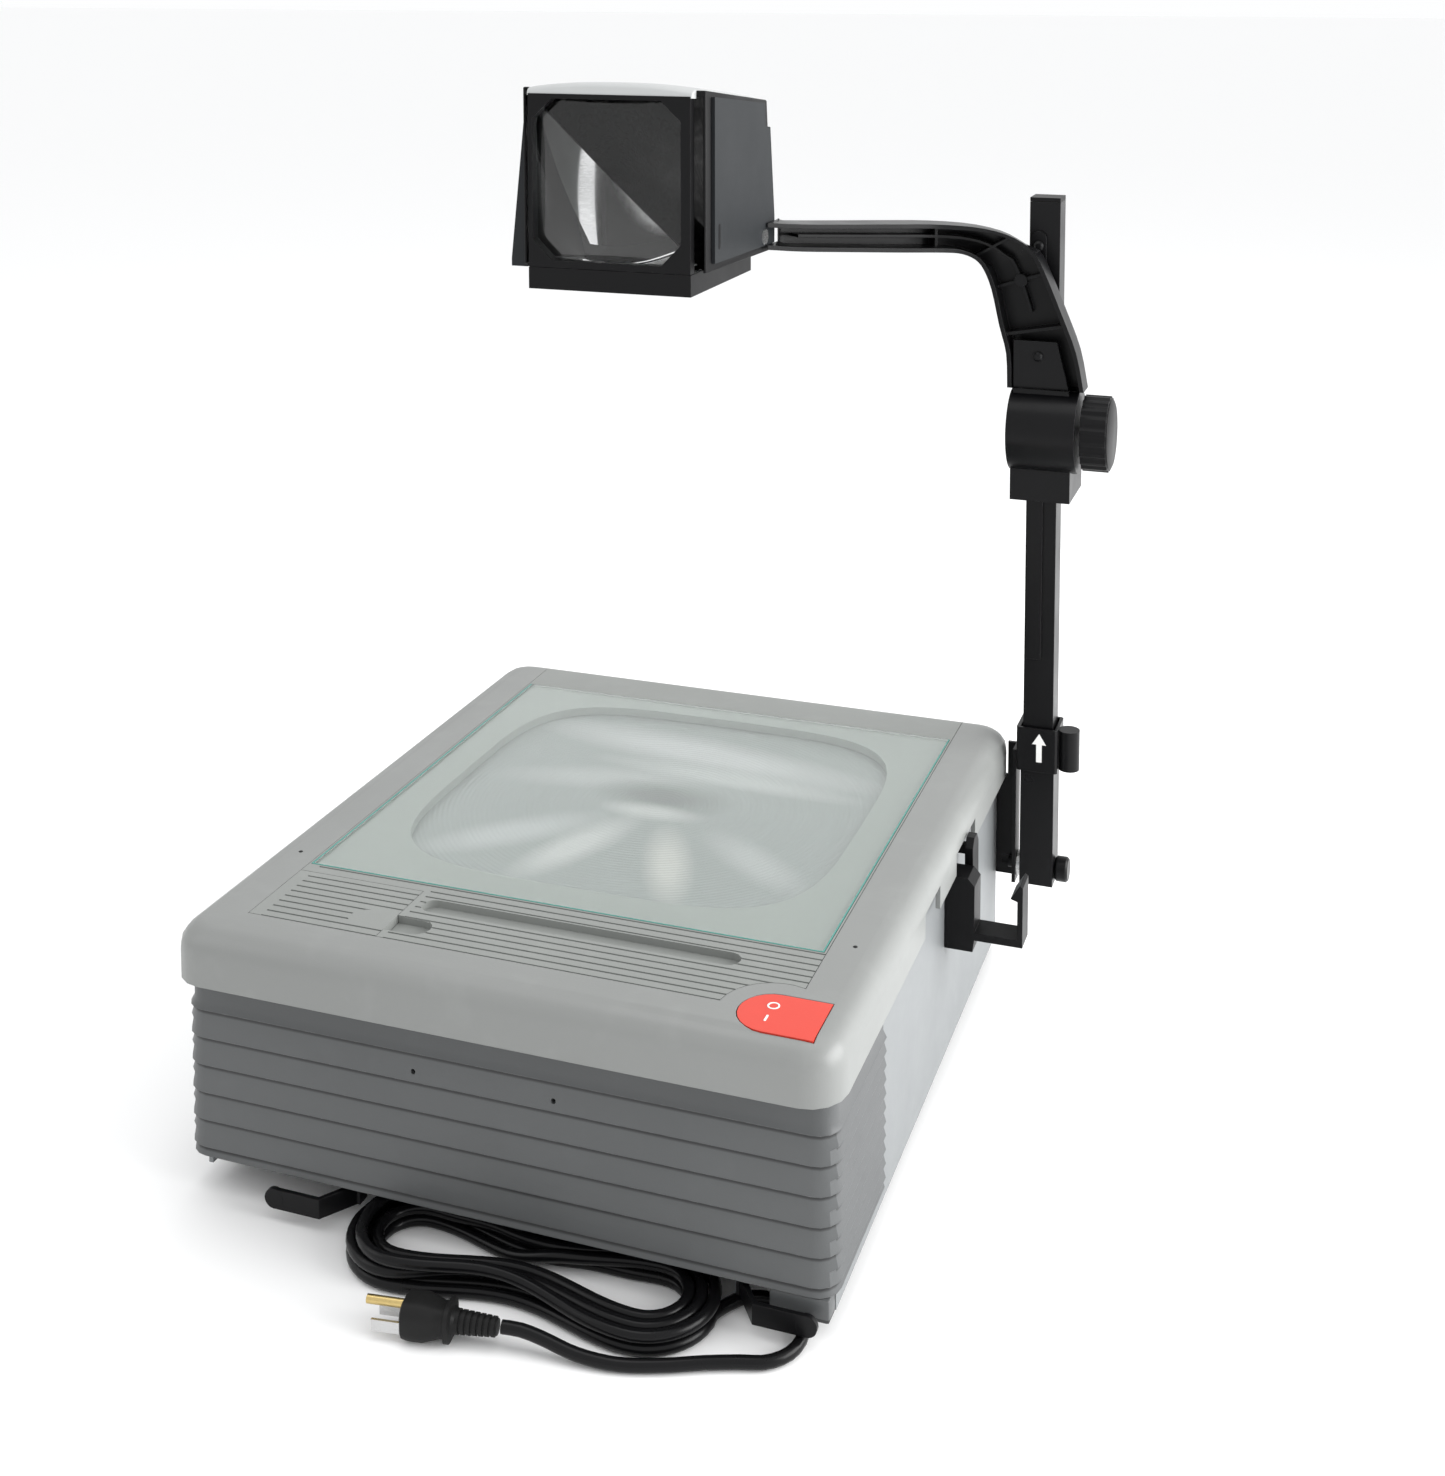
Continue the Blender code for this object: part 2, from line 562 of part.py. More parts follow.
def lock_collar():
    """Slides up the post to free its fold, and is pushed by the round tab on its right."""
    pivot = (POST_X, POST_Y, 163)
    ring = prism([rounded_rectangle(213, 242.5, 200, 228.6, 1.5, 1), square(SLEEVE_HALF + GAP)], 147, 179)
    collar = add("lock_collar", ring, "black", pivot)
    join(collar, rods(((249.6, 209, 149), 7.6, 29), axis="Z", segments=20), "tab")
    join(collar, boxes(((241, 205, 149.4), (250, 213, 177.6))), "web")


def focus_carriage():
    """The housing that grips the post, holds the focus shaft and carries the arm."""
    origin = (POST_X, BARREL_Y, BARREL_Z)
    barrel = rods(((BARREL_X0, BARREL_Y, BARREL_Z), BARREL_R, BARREL_X1 - BARREL_X0), segments=40)
    carriage = add("focus_carriage", barrel, "black", origin)
    join(carriage, boxes(((210, 178, 352), (252, 231, 378))), "sleeve")
    join(carriage, boxes(((212, 196.5, 370), (247, 231, 452))), "guide")
    plate = [(211.5, 404), (253, 404), (249.5, 434), (241.5, 465.4), (211.2, 465.4)]
    join(carriage, prism([plate], 179, 183, "Y"), "plate")
    join(carriage, boxes(((222, 181, 408), (232, 198, 430.5))), "rib")
    bore = square(TUBE_HALF + 0.4)
    cut(carriage, prism([bore], 340, 470), "post_bore")
    cut(carriage, boxes(((217.6, 196.2, 340), (231, 206, 470))), "rack_slot")
    cut(carriage, rods(((216.8, BARREL_Y, BARREL_Z), PINION_R + 2.2, 15.2), segments=24), "pinion_pocket")
    cut(carriage, rods(((216.8, BARREL_Y, BARREL_Z), 4.6, 60), segments=16), "shaft_hole")


def focus_knob():
    centre = (BARREL_X1 + 3, BARREL_Y, BARREL_Z)
    flutes = 20
    outline = []
    for i in range(flutes * 4):
        radius = 26.5 if i % 4 < 2 else 25.2
        angle = math.tau * (i + 0.5) / (flutes * 4)
        outline.append((BARREL_Y + radius * math.cos(angle), BARREL_Z + radius * math.sin(angle)))
    knob = add("focus_knob", prism([outline], BARREL_X1 + 3, 277.8, "X"), "black", centre)
    to_shaft = Matrix.Translation((0, BARREL_Y, BARREL_Z)) @ turn_to("X")
    join(knob, turned([(0, 279.8), (22, 279.8), (24.6, 278.7), (25, 276.3), (0, 276.3)], to_shaft), "face")
    teeth = 14
    gear = []
    for i in range(teeth * 4):
        radius = PINION_R if i % 4 < 2 else PINION_R - 1.8
        angle = math.tau * (i + 0.5) / (teeth * 4)
        gear.append((BARREL_Y + radius * math.cos(angle), BARREL_Z + radius * math.sin(angle)))
    pinion = add("focus_pinion", prism([gear], 218, 230.5, "X"), "steel", centre)
    join(pinion, rods(((230, BARREL_Y, BARREL_Z), 4.2, BARREL_X1 + 2.7 - 230), segments=16), "shaft")


def arm_rows():
    """Even steps along the arm's stations: the four corners of the channel, and its unit directions."""
    knots = [ARM_STATIONS[0]] + ARM_STATIONS + [ARM_STATIONS[-1]]
    fine = []
    for a, b, c, d in zip(knots, knots[1:], knots[2:], knots[3:]):
        for k in range(ARM_STEPS):
            t = k / ARM_STEPS
            fine.append([
                q + 0.5 * ((r - p) * t + (2 * p - 5 * q + 4 * r - s) * t**2 + (3 * q - p - 3 * r + s) * t**3)
                for p, q, r, s in zip(a, b, c, d)
            ])
    fine.append(list(knots[-1]))
    last = len(fine) - 1
    rows = []
    for i, (ox, oz, ix, iz, y, depth) in enumerate(fine):
        before, after = fine[max(i - 1, 0)], fine[min(i + 1, last)]
        along = Vector((after[0] + after[2] - before[0] - before[2], 2 * (after[4] - before[4]), 0))
        straight = Vector((0, 1, 0))
        back = straight if y > 175.99 else Vector((along.y, -along.x, 0)).normalized()
        back = back if back.y > 0 else -back
        back = back.lerp(straight, max(0.0, 1 - (last - i) / ARM_STEPS)).normalized()
        outer, inner = Vector((ox, y, oz)), Vector((ix, y, iz))
        rows.append((outer, inner, (inner - outer).normalized(), back, depth))
    return rows


def lofted(rings):
    """A closed solid through rings of points, with flat ends."""
    bm = bmesh.new()
    rings = [[bm.verts.new(point) for point in ring] for ring in rings]
    count = len(rings[0])
    for a, b in zip(rings, rings[1:]):
        for i in range(count):
            j = (i + 1) % count
            bm.faces.new((a[i], a[j], b[j], b[i]))
    bm.faces.new(rings[0])
    bm.faces.new(rings[-1])
    bmesh.ops.triangulate(bm, faces=bm.faces)
    return mesh_of(bm)


def projection_arm():
    """A ribbed channel, open to the front, that climbs from the carriage and turns over the stage."""
    rows = arm_rows()
    channel, rib = [], []
    for outer, inner, across, back, depth in rows:
        a, b = outer + across * ARM_WALL, inner - across * ARM_WALL
        floor = back * (depth - ARM_WALL)
        channel.append([outer, outer + back * depth, inner + back * depth, inner, b, b + floor, a + floor, a])
        middle = (outer + inner) / 2
        front, rear = back * depth * 0.5, back * (depth - ARM_WALL + 1)
        half = across * ARM_RIB
        rib.append([middle - half + front, middle - half + rear, middle + half + rear, middle + half + front])
    arm = add("projection_arm", lofted(channel), "black", (POST_X, BARREL_Y, BARREL_Z))
    rib = rib[2 * ARM_STEPS:-ARM_STEPS]
    for end, inner in ((0, 1), (-1, -2)):
        rib[end] = [p.lerp(q, 0.4) for p, q in zip(rib[end], rib[inner])]
    ribs = add("projection_arm_ribs", lofted(rib))
    for number, i in enumerate((ARM_STEPS + 2, 3 * ARM_STEPS, 5 * ARM_STEPS, 7 * ARM_STEPS)):
        outer, inner, across, back, depth = rows[i]
        along = (rows[i + 1][0] + rows[i + 1][1] - rows[i - 1][0] - rows[i - 1][1]).normalized() * ARM_RIB
        share = 0.2 if number == 0 else 0.5
        a, b = outer + across * (ARM_WALL - 1), inner - across * (ARM_WALL - 1)
        near, far = back * depth * share, back * (depth - ARM_WALL + 1)
        ring = [a + near, a + far, b + far, b + near]
        join(ribs, lofted([[p - along for p in ring], [p + along for p in ring]]), f"cross_{number}")
    outer, inner, across, back, depth = rows[3 * ARM_STEPS]
    boss = (outer + inner) / 2 + back * depth * 0.42
    join(ribs, rods((boss.to_tuple(), 4.6, depth * 0.58 - 1), axis="Y", segments=16), "boss")
    combine(arm, ribs, "UNION")


def arm_fittings():
    origin = (POST_X, BARREL_Y, BARREL_Z)
    head = [(0, 2.2), (2, 2.1), (3.4, 1), (3.6, 0), (0, 0)]
    place = Matrix.Translation((228.6, 178.7, 454.8)) @ Matrix.Rotation(math.pi / 2, 4, "X")
    add("carriage_screw", turned(head, place, 14), "steel", origin)
    pin = rods(((56, TILT_Y, TILT_Z), 5, 13.7), segments=16)
    add("head_tilt_pin", pin, "steel", (0, TILT_Y, TILT_Z))


def tapered_block(low, high, rear_half, drop, lean, inset=0.0):
    """The hood's block: wider at the back, with a top that falls and a back that leans."""
    bm = bmesh.new()
    box_into(bm, low, high)
    middle_y = (low[1] + high[1]) / 2
    middle_z = (low[2] + high[2]) / 2
    for vert in bm.verts:
        if vert.co.y > middle_y:
            vert.co.x = math.copysign(rear_half - inset, vert.co.x)
            if vert.co.z > middle_z:
                vert.co.z -= drop
                vert.co.y -= lean
    return mesh_of(bm)


def head():
    tilt = (0, TILT_Y, TILT_Z)
    block = boxes(((-54.5, HEAD_Y0, HEAD_Z0), (54.5, HEAD_Y1, HOOD_Z0 - GAP)))
    housing = add("lens_housing", block, "black", tilt)
    cut(housing, boxes(((-51, HEAD_Y0 + 3.5, HEAD_Z0 + 8), (51, HEAD_Y1 - 3.5, HOOD_Z0 + 10))), "inside")
    cut(housing, rods(((0, LENS_Y, HEAD_Z0 - 10), 44, 40), axis="Z", segments=32), "lens_hole")
    lens = [(0, 531.6), (20, 530.8), (36, 528.4), (43.6, 526), (43.6, 524), (0, 524)]
    add("objective_lens", turned(lens, Matrix.Translation((0, LENS_Y, 0)), 32), "glass", tilt)
    hood = tapered_block((-61.5, -40, HOOD_Z0), (61.5, HEAD_Y1 + 8, HOOD_Z1), 67.5, 12, 14)
    hood = add("head_hood", hood, "black", tilt)
    inside = tapered_block((-58.5, -60, HOOD_Z0 - 20), (58.5, HEAD_Y1 + 5, HOOD_Z1 - 3), 64.5, 10.5, 14)
    cut(hood, inside, "inside")
    cut(hood, rods(((55, TILT_Y, TILT_Z), 5.3, 20), segments=16), "pin_hole")
    round_edges(hood, 2, 2, 40)
    bezel = boxes(((-54.3, HEAD_Y0, HOOD_Z0), (54.3, HEAD_Y0 + 7, HOOD_Z1 - 3.5)))
    frame = add("head_front_frame", bezel, "black", tilt)
    window = [
        (-51.5, 555), (-38, 541.5), (35, 541.5), (48, 555), (48, 631), (35, 643.5), (-38, 643.5), (-51.5, 631),
    ]
    cut(frame, prism([window], HEAD_Y0 - 10, HEAD_Y0 + 20, "Y"), "window")
    front = boxes(((-53, HEAD_Y0 + 7.3, 539.5), (53, HEAD_Y0 + 11.3, 644.6)))
    add("front_lens", front, "glass", tilt)
    plate = boxes(((-55, -1.5, -62), (55, 1.5, 62)))
    plate.transform(Matrix.Translation((0, 16, 592)) @ Matrix.Rotation(math.radians(45), 4, "X"))
    add("head_mirror", plate, "mirror", tilt)


def cord_stowage():
    """The stowed cord as one block, the two free stretches, and the gland that it leaves by."""
    place = Matrix.Translation((40, -150.3, 21.5)) @ Matrix.Rotation(math.pi / 2, 4, "X")
    add("cord_gland", turned([(0, 22), (4.4, 22), (5.6, 3), (9, 3), (9, 0), (0, 0)], place, 16), "rubber")
    hank = arc(97, -228, 38, -90, 90, 8) + arc(-47, -226, 36, 90, 270, 8)
    add("cord_hank", prism([hank], 0.4, 16), "rubber")


CORD_LEAD = [
    (40, -173.3, 21.5), (40, -176, 21.5), (40, -181, 17), (40, -186, 12.2), (40, -189.4, 12.1),
]
CORD_TAIL = [
    (139.5, -210.5, CORD_Z), (148.8, -204.5, CORD_Z), (157.3, -203, CORD_Z), (169.8, -206.3, CORD_Z),
    (179, -215.5, CORD_Z), (182.3, -228, CORD_Z), (179, -240.5, CORD_Z), (169.8, -249.7, CORD_Z),
    (157, -254, CORD_Z), (140, -260.5, CORD_Z), (120, -269.5, CORD_Z), (98, -276.5, CORD_Z),
    (76, -278.8, 5.4), (56, -278.4, 9.2), (44, -278.9, 11.3), (33.2, -280.3, 11.5),
]


def smooth_route(points, spacing):
    """Points at even steps along a curve that passes through every given point."""
    knots = [Vector(p) for p in points]
    knots = [knots[0] * 2 - knots[1]] + knots + [knots[-1] * 2 - knots[-2]]
    fine = []
    for a, b, c, d in zip(knots, knots[1:], knots[2:], knots[3:]):
        for i in range(16):
            t = i / 16
            fine.append(
                b + 0.5 * ((c - a) * t + (2 * a - 5 * b + 4 * c - d) * t**2 + (3 * b - a - 3 * c + d) * t**3)
            )
    fine.append(knots[-2])
    route = [fine[0]]
    walked = 0.0
    for a, b in zip(fine, fine[1:-1]):
        walked += (b - a).length
        if walked >= spacing:
            route.append(b)
            walked = 0.0
    return route + [fine[-1]]


def cord_tube(name, points, spacing):
    curve = bpy.data.curves.new(name, "CURVE")
    curve.dimensions = "3D"
    curve.bevel_depth = CORD_D / 2 * MM
    curve.bevel_resolution = 2
    curve.use_fill_caps = True
    spline = curve.splines.new("POLY")
    route = smooth_route(points, spacing * CORD_D)
    spline.points.add(len(route) - 1)
    for point, co in zip(spline.points, route):
        point.co = (*(co * MM), 1)
    curve.materials.append(material("rubber"))
    tube = bpy.data.objects.new(name, curve)
    tube.parent = ROOT
    PARTS.objects.link(tube)


def plug():
    """A moulded three-pin plug lying on the table, its pins to the left."""
    turn = Matrix.Translation((0, -285, 11.5)) @ Matrix.Rotation(math.radians(8), 4, "Z")
    body = [(0, 32.6), (4.4, 32.6), (6.4, 14), (8, 11), (11, 6), (11, -18), (10, -20), (0, -20)]
    body = turned(body, Matrix.Rotation(math.pi / 2, 4, "Y"), 20)
    body.transform(turn)
    add("plug_body", body, "rubber")
    blades = (("plug_blade_front", -6.35), ("plug_blade_rear", 6.35))
    for name, y in blades:
        blade = boxes(((-36.5, y - 0.75, -7.2), (-20.3, y + 0.75, -0.9)))
        blade.transform(turn)
        add(name, blade, "steel")
    pin = rods(((-41, 0, 5.2), 2.4, 20.7), segments=12)
    pin.transform(turn)
    add("plug_ground_pin", pin, "brass")


clear_scene()
PARTS = collection("overhead_projector")
CUTTERS = collection("cutters")
# The base's middle is left of the origin, which is under the middle of the whole object.
ROOT = bpy.data.objects.new("base_middle", None)
ROOT.location = (BASE_SHIFT_X * MM, 0, 0)
PARTS.objects.link(ROOT)

top_cover()
stage_lid()
lamp_door()
stage_glass()
fresnel_lens()
base_shell()
base_pan()
corner_block()
rubber_feet()
front_panel()
cord_hooks()
power_switch()
post_cradle()
lamp_changer()
condenser()
cooling_fan()
hinge_bracket()
pivot_bolt()
post()
lock_collar()
focus_carriage()
focus_knob()
projection_arm()
arm_fittings()
head()
cord_stowage()
cord_tube("cord_tail", CORD_TAIL, 2.3)
cord_tube("cord_lead", CORD_LEAD, 0.6)
plug()
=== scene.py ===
"""Looks for the overhead projector: materials, moulded details, the cord, floor, lights and camera.

Details are drawn in millimetres from the middle of the base, as on the CAD model, and made in metres.
"""

import math

import bmesh
import bpy
from mathutils import Matrix, Vector


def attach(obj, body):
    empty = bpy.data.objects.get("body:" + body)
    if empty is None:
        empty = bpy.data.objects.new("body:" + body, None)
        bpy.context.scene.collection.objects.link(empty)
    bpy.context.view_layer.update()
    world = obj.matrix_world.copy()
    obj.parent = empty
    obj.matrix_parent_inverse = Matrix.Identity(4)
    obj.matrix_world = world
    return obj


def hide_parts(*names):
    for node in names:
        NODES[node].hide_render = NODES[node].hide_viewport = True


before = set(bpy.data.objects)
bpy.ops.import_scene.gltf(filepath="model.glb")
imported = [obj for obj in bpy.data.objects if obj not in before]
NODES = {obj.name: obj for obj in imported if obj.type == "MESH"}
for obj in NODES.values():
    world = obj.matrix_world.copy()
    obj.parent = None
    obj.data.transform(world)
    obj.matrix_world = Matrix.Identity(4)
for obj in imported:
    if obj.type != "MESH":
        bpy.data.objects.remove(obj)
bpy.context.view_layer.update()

MM = 0.001
BASE_SHIFT = Vector((-38.15, 0.0, 0.0))  # from the middle of the whole machine to the middle of the base
TOP_Z = 167.3
GLASS_X, GLASS_FRONT_Y, GLASS_REAR_Y = 166.6, -134.5, 188.3
STAGE_Y, FRESNEL_Z = 33.0, 155.0
LENS_Y = 12.0

# Where the printed border lies on the lid, and where the painted shade under the ribs of the panel falls, in
# metres
BORDER_TOP_Z, BORDER_FRONT_Y = 0.1633, -0.1352
RIB_TOP_Z, RIB_PITCH = 0.114, 0.00845
PANEL_FRONT_Y = -0.2125
RIB_SHADE = (0.0022, 0.0034)

# Edges: how far they look rounded, and what counts as a corner, in metres and degrees
EDGE_RADIUS = 0.0007
WELD_DISTANCE = 0.000002
CORNER_ANGLE = 32.0

# Soft painted reflections in the Fresnel lens, and one darker lobe of painted shade: place and half-size in
# metres, turn in degrees, strength and tint
FRESNEL_PAINTED_LIGHT = (
    (0.0, 0.09, 0.15, 0.030, -8, 0.85, (1.0, 1.0, 1.0)),
    (0.03, 0.055, 0.11, 0.016, -4, 0.7, (0.98, 1.0, 0.98)),
    (-0.05, 0.03, 0.09, 0.022, 14, 0.5, (0.95, 0.97, 0.95)),
    # Painted shade in the middle of the lens
    (0.0, 0.012, 0.055, 0.026, -2, 0.95, (0.24, 0.27, 0.25)),
    (0.0, -0.012, 0.040, 0.014, 0, 0.8, (0.97, 0.98, 0.95)),
    (-0.075, -0.07, 0.070, 0.022, 42, 0.6, (0.98, 1.0, 1.0)),
    (-0.028, -0.075, 0.065, 0.020, 68, 0.9, (1.0, 1.0, 0.98)),
    (0.038, -0.080, 0.062, 0.018, 112, 0.9, (1.0, 0.98, 0.92)),
    (0.090, -0.060, 0.060, 0.020, 142, 0.5, (0.97, 0.98, 0.97)),
)

# Cord: six stowed turns in three tracks and two layers between half-circle ends, with the lead on top
CORD_D = 7.0
CORD_PITCH = 7.15
CORD_LOW_Z = 3.9
TRACKS = (21.0, 28.15, 35.3)
TURNS = 6
HANK_RIGHT, HANK_LEFT = (97.0, -228.0), (-47.0, -226.0)
HANK_START = 85.0  # where the lead joins the turns, past the hank's right end
HANK_END = 0.55  # where the tail leaves the last turn, as a share of the right end's half-circle
PINCH = 13.0  # how far the straight sides are drawn in at their middle
HANK_STEP, CORD_STEP = 8.0, 5.0
CORD_LEAD = [
    (40, -172.3, 21.5), (39.6, -178.5, 21.2), (37.7, -186.5, 19.9), (33.2, -198.0, 18.8), (24.6, -206.6, 18.3),
]
CORD_TAIL = [
    (141.2, -208.9, 3.9), (148.8, -204.5, 3.9), (157.3, -203, 3.9), (169.8, -206.3, 3.9), (179, -215.5, 3.9),
    (182.3, -228, 3.9), (179, -240.5, 3.9), (169.8, -249.7, 3.9), (157, -254, 3.9), (140, -260.5, 3.9),
    (120, -269.5, 3.9), (98, -276.5, 3.9), (76, -278.8, 5.4), (56, -278.4, 9.2), (44, -279, 11.3),
    (33.6, -280.3, 11.5),
]


def point(x, y, z):
    """A place in base millimetres as a world point in metres."""
    return (Vector((x, y, z)) + BASE_SHIFT) * MM


def linked(name, data):
    """A new object in the scene."""
    obj = bpy.data.objects.new(name, data)
    bpy.context.scene.collection.objects.link(obj)
    return obj


def place_mesh(name, bm, finish, body, smooth=40.0):
    """Turns a bmesh in base millimetres into a piece that rides on a body."""
    bmesh.ops.recalc_face_normals(bm, faces=bm.faces)
    bm.transform(Matrix.Scale(MM, 4) @ Matrix.Translation(BASE_SHIFT))
    mesh = bpy.data.meshes.new(name)
    bm.to_mesh(mesh)
    bm.free()
    mesh.shade_smooth()
    mesh.set_sharp_from_angle(angle=math.radians(smooth))
    mesh.materials.append(finish)
    obj = linked(name, mesh)
    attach(obj, body)
    return obj


def extruded(outline, low, high, turn=Matrix()):
    """A flat outline in X and Y, extruded along Z and then turned."""
    bm = bmesh.new()
    bottom = [bm.verts.new((x, y, low)) for x, y in outline]
    top = [bm.verts.new((x, y, high)) for x, y in outline]
    bm.faces.new(bottom[::-1])
    bm.faces.new(top)
    for i in range(len(outline)):
        j = (i + 1) % len(outline)
        bm.faces.new((bottom[i], bottom[j], top[j], top[i]))
    bm.transform(turn)
    return bm


def softened(bm, width, segments=2):
    """Bevels the sharp edges of a bmesh."""
    edges = [e for e in bm.edges if e.is_manifold and e.calc_face_angle() > math.radians(30)]
    bmesh.ops.bevel(bm, geom=edges, offset=width, segments=segments, profile=0.5, affect="EDGES")
    return bm


def turned(profile, place, steps=40):
    """A solid of revolution about Z from (radius, height) pairs, placed by a matrix."""
    bm = bmesh.new()
    row = [bm.verts.new((radius, 0, height)) for radius, height in profile]
    edges = [bm.edges.new(pair) for pair in zip(row, row[1:])]
    bmesh.ops.spin(
        bm, geom=row + edges, cent=(0, 0, 0), axis=(0, 0, 1), angle=math.tau, steps=steps, use_merge=True
    )
    bmesh.ops.remove_doubles(bm, verts=bm.verts, dist=0.001)
    bm.transform(place)
    return bm


def arc(cx, cy, radius, start, end, steps):
    """Points on an arc, between two angles in degrees."""
    angles = [math.radians(start + (end - start) * i / steps) for i in range(steps + 1)]
    return [(cx + radius * math.cos(a), cy + radius * math.sin(a)) for a in angles]


def rounded_rectangle(x0, x1, y0, y1, radius, steps=6):
    return (
        arc(x1 - radius, y1 - radius, radius, 0, 90, steps)
        + arc(x0 + radius, y1 - radius, radius, 90, 180, steps)
        + arc(x0 + radius, y0 + radius, radius, 180, 270, steps)
        + arc(x1 - radius, y0 + radius, radius, 270, 360, steps)
    )


# ---------------------------------------------------------------- materials


class Finish:
    """A Principled material built up from noise layers in object space."""

    def __init__(self, name, colour, roughness, metallic=0.0):
        self.material = bpy.data.materials.new(name)
        self.material.use_nodes = True
        self.tree = self.material.node_tree
        self.shader = self.tree.nodes["Principled BSDF"]
        self.coordinates = self.tree.nodes.new("ShaderNodeTexCoord").outputs["Object"]
        self.set("Base Color", (*colour, 1.0))
        self.set("Roughness", roughness)
        self.set("Metallic", metallic)
        self.bump_normal = None

    def set(self, socket, value):
        """Gives one of the shader's sockets a plain value."""
        self.shader.inputs[socket].default_value = value
        return self

    def noise(self, scale, detail=4.0, stretch=(1, 1, 1)):
        """A noise pattern, stretched along the axes."""
        mapping = self.tree.nodes.new("ShaderNodeMapping")
        mapping.inputs["Scale"].default_value = stretch
        self.tree.links.new(self.coordinates, mapping.inputs["Vector"])
        texture = self.tree.nodes.new("ShaderNodeTexNoise")
        texture.inputs["Scale"].default_value = scale
        texture.inputs["Detail"].default_value = detail
        self.tree.links.new(mapping.outputs["Vector"], texture.inputs["Vector"])
        return texture.outputs["Fac"]

    def span(self, value, low, high, start=0.3, end=0.7):
        """Maps start..end of a value to low..high."""
        node = self.tree.nodes.new("ShaderNodeMapRange")
        for socket, number in (("From Min", start), ("From Max", end), ("To Min", low), ("To Max", high)):
            node.inputs[socket].default_value = number
        self.tree.links.new(value, node.inputs["Value"])
        return node.outputs["Result"]

    def mix_colour(self, factor, other):
        """Mixes the colour so far with another by a factor."""
        node = self.tree.nodes.new("ShaderNodeMix")
        node.data_type = "RGBA"
        source = self.shader.inputs["Base Color"]
        if source.links:
            self.tree.links.new(source.links[0].from_socket, node.inputs[6])
        else:
            node.inputs[6].default_value = source.default_value
        node.inputs[7].default_value = (*other, 1.0)
        self.tree.links.new(factor, node.inputs[0])
        self.tree.links.new(node.outputs[2], source)
        return self

    def bump(self, height, distance, strength=1.0):
        """Adds fine relief on top of the relief so far."""
        node = self.tree.nodes.new("ShaderNodeBump")
        node.inputs["Strength"].default_value = strength
        node.inputs["Distance"].default_value = distance
        self.tree.links.new(height, node.inputs["Height"])
        if self.bump_normal:
            self.tree.links.new(self.bump_normal, node.inputs["Normal"])
        self.bump_normal = node.outputs["Normal"]
        self.tree.links.new(self.bump_normal, self.shader.inputs["Normal"])
        return self

    def rough(self, value):
        """Drives the roughness by a value."""
        self.tree.links.new(value, self.shader.inputs["Roughness"])
        return self

    def maths(self, operation, a, b):
        """One step of arithmetic on two values, each a socket or a number."""
        node = self.tree.nodes.new("ShaderNodeMath")
        node.operation = operation
        for socket, value in zip(node.inputs, (a, b)):
            if isinstance(value, (int, float)):
                socket.default_value = value
            else:
                self.tree.links.new(value, socket)
        return node.outputs[0]

    def axis(self, name):
        """One coordinate of the surface, in metres."""
        node = self.tree.nodes.new("ShaderNodeSeparateXYZ")
        self.tree.links.new(self.coordinates, node.inputs[0])
        return node.outputs[name]

    def rounded_edges(self, radius):
        """Shades every edge as if it were rounded off."""
        node = self.tree.nodes.new("ShaderNodeBevel")
        node.samples = 4
        node.inputs["Radius"].default_value = radius
        self.bump_normal = node.outputs["Normal"]
        return self

    def edge_wear_and_highlight(self, colour, amount=0.5):
        """Lightens the edges, broken up by noise, where the rounded normal leaves the flat one: partly wear,
        partly a painted highlight along the edges.
        """
        geometry = self.tree.nodes.new("ShaderNodeNewGeometry")
        product = self.tree.nodes.new("ShaderNodeVectorMath")
        product.operation = "DOT_PRODUCT"
        self.tree.links.new(geometry.outputs["Normal"], product.inputs[0])
        self.tree.links.new(self.bump_normal, product.inputs[1])
        edges = self.span(product.outputs["Value"], amount, 0.0, 0.8, 0.97)
        broken = self.span(self.noise(140, 3), 0.0, 1.0, 0.45, 0.62)
        return self.mix_colour(self.maths("MULTIPLY", edges, broken), colour)


def moulded(
    name, colour, roughness, grain=900.0, depth=0.00006, wear_and_highlight=None, mottle=0.4, scuffs=0.2, level=0.5
):
    """Textured injection-moulded plastic with handling marks."""
    finish = Finish(name, colour, roughness).set("Specular IOR Level", level)
    darker, lighter = [c * 0.86 for c in colour], [min(1, c * 1.25) for c in colour]
    if wear_and_highlight:
        finish.rounded_edges(EDGE_RADIUS)
    finish.mix_colour(finish.span(finish.noise(7), 0.0, mottle), darker)
    finish.mix_colour(finish.span(finish.noise(45, 6), 0.0, scuffs, 0.55, 0.75), lighter)
    finish.rough(finish.span(finish.noise(24, 5), roughness - 0.04, roughness + 0.05))
    # Edges lightened, partly as wear, partly as painted highlight
    if wear_and_highlight:
        finish.edge_wear_and_highlight(wear_and_highlight)
    finish.bump(finish.noise(grain, 2), depth, 0.8)
    finish.bump(finish.noise(60, 3), 0.00006, 0.2)
    return finish


def painted(name, colour, roughness, wear_and_highlight=(0.07, 0.07, 0.07)):
    """Semi-gloss paint on metal, with light orange peel."""
    finish = Finish(name, colour, roughness).set("Specular IOR Level", 0.17)
    finish.rounded_edges(EDGE_RADIUS)
    finish.mix_colour(finish.span(finish.noise(12), 0.0, 0.3), [c * 1.6 for c in colour])
    finish.rough(finish.span(finish.noise(30, 5), roughness - 0.03, roughness + 0.05))
    # Edges lightened, partly as wear, partly as painted highlight
    finish.edge_wear_and_highlight(wear_and_highlight, 0.35)
    finish.bump(finish.noise(420, 2), 0.00004, 0.5)
    return finish.material


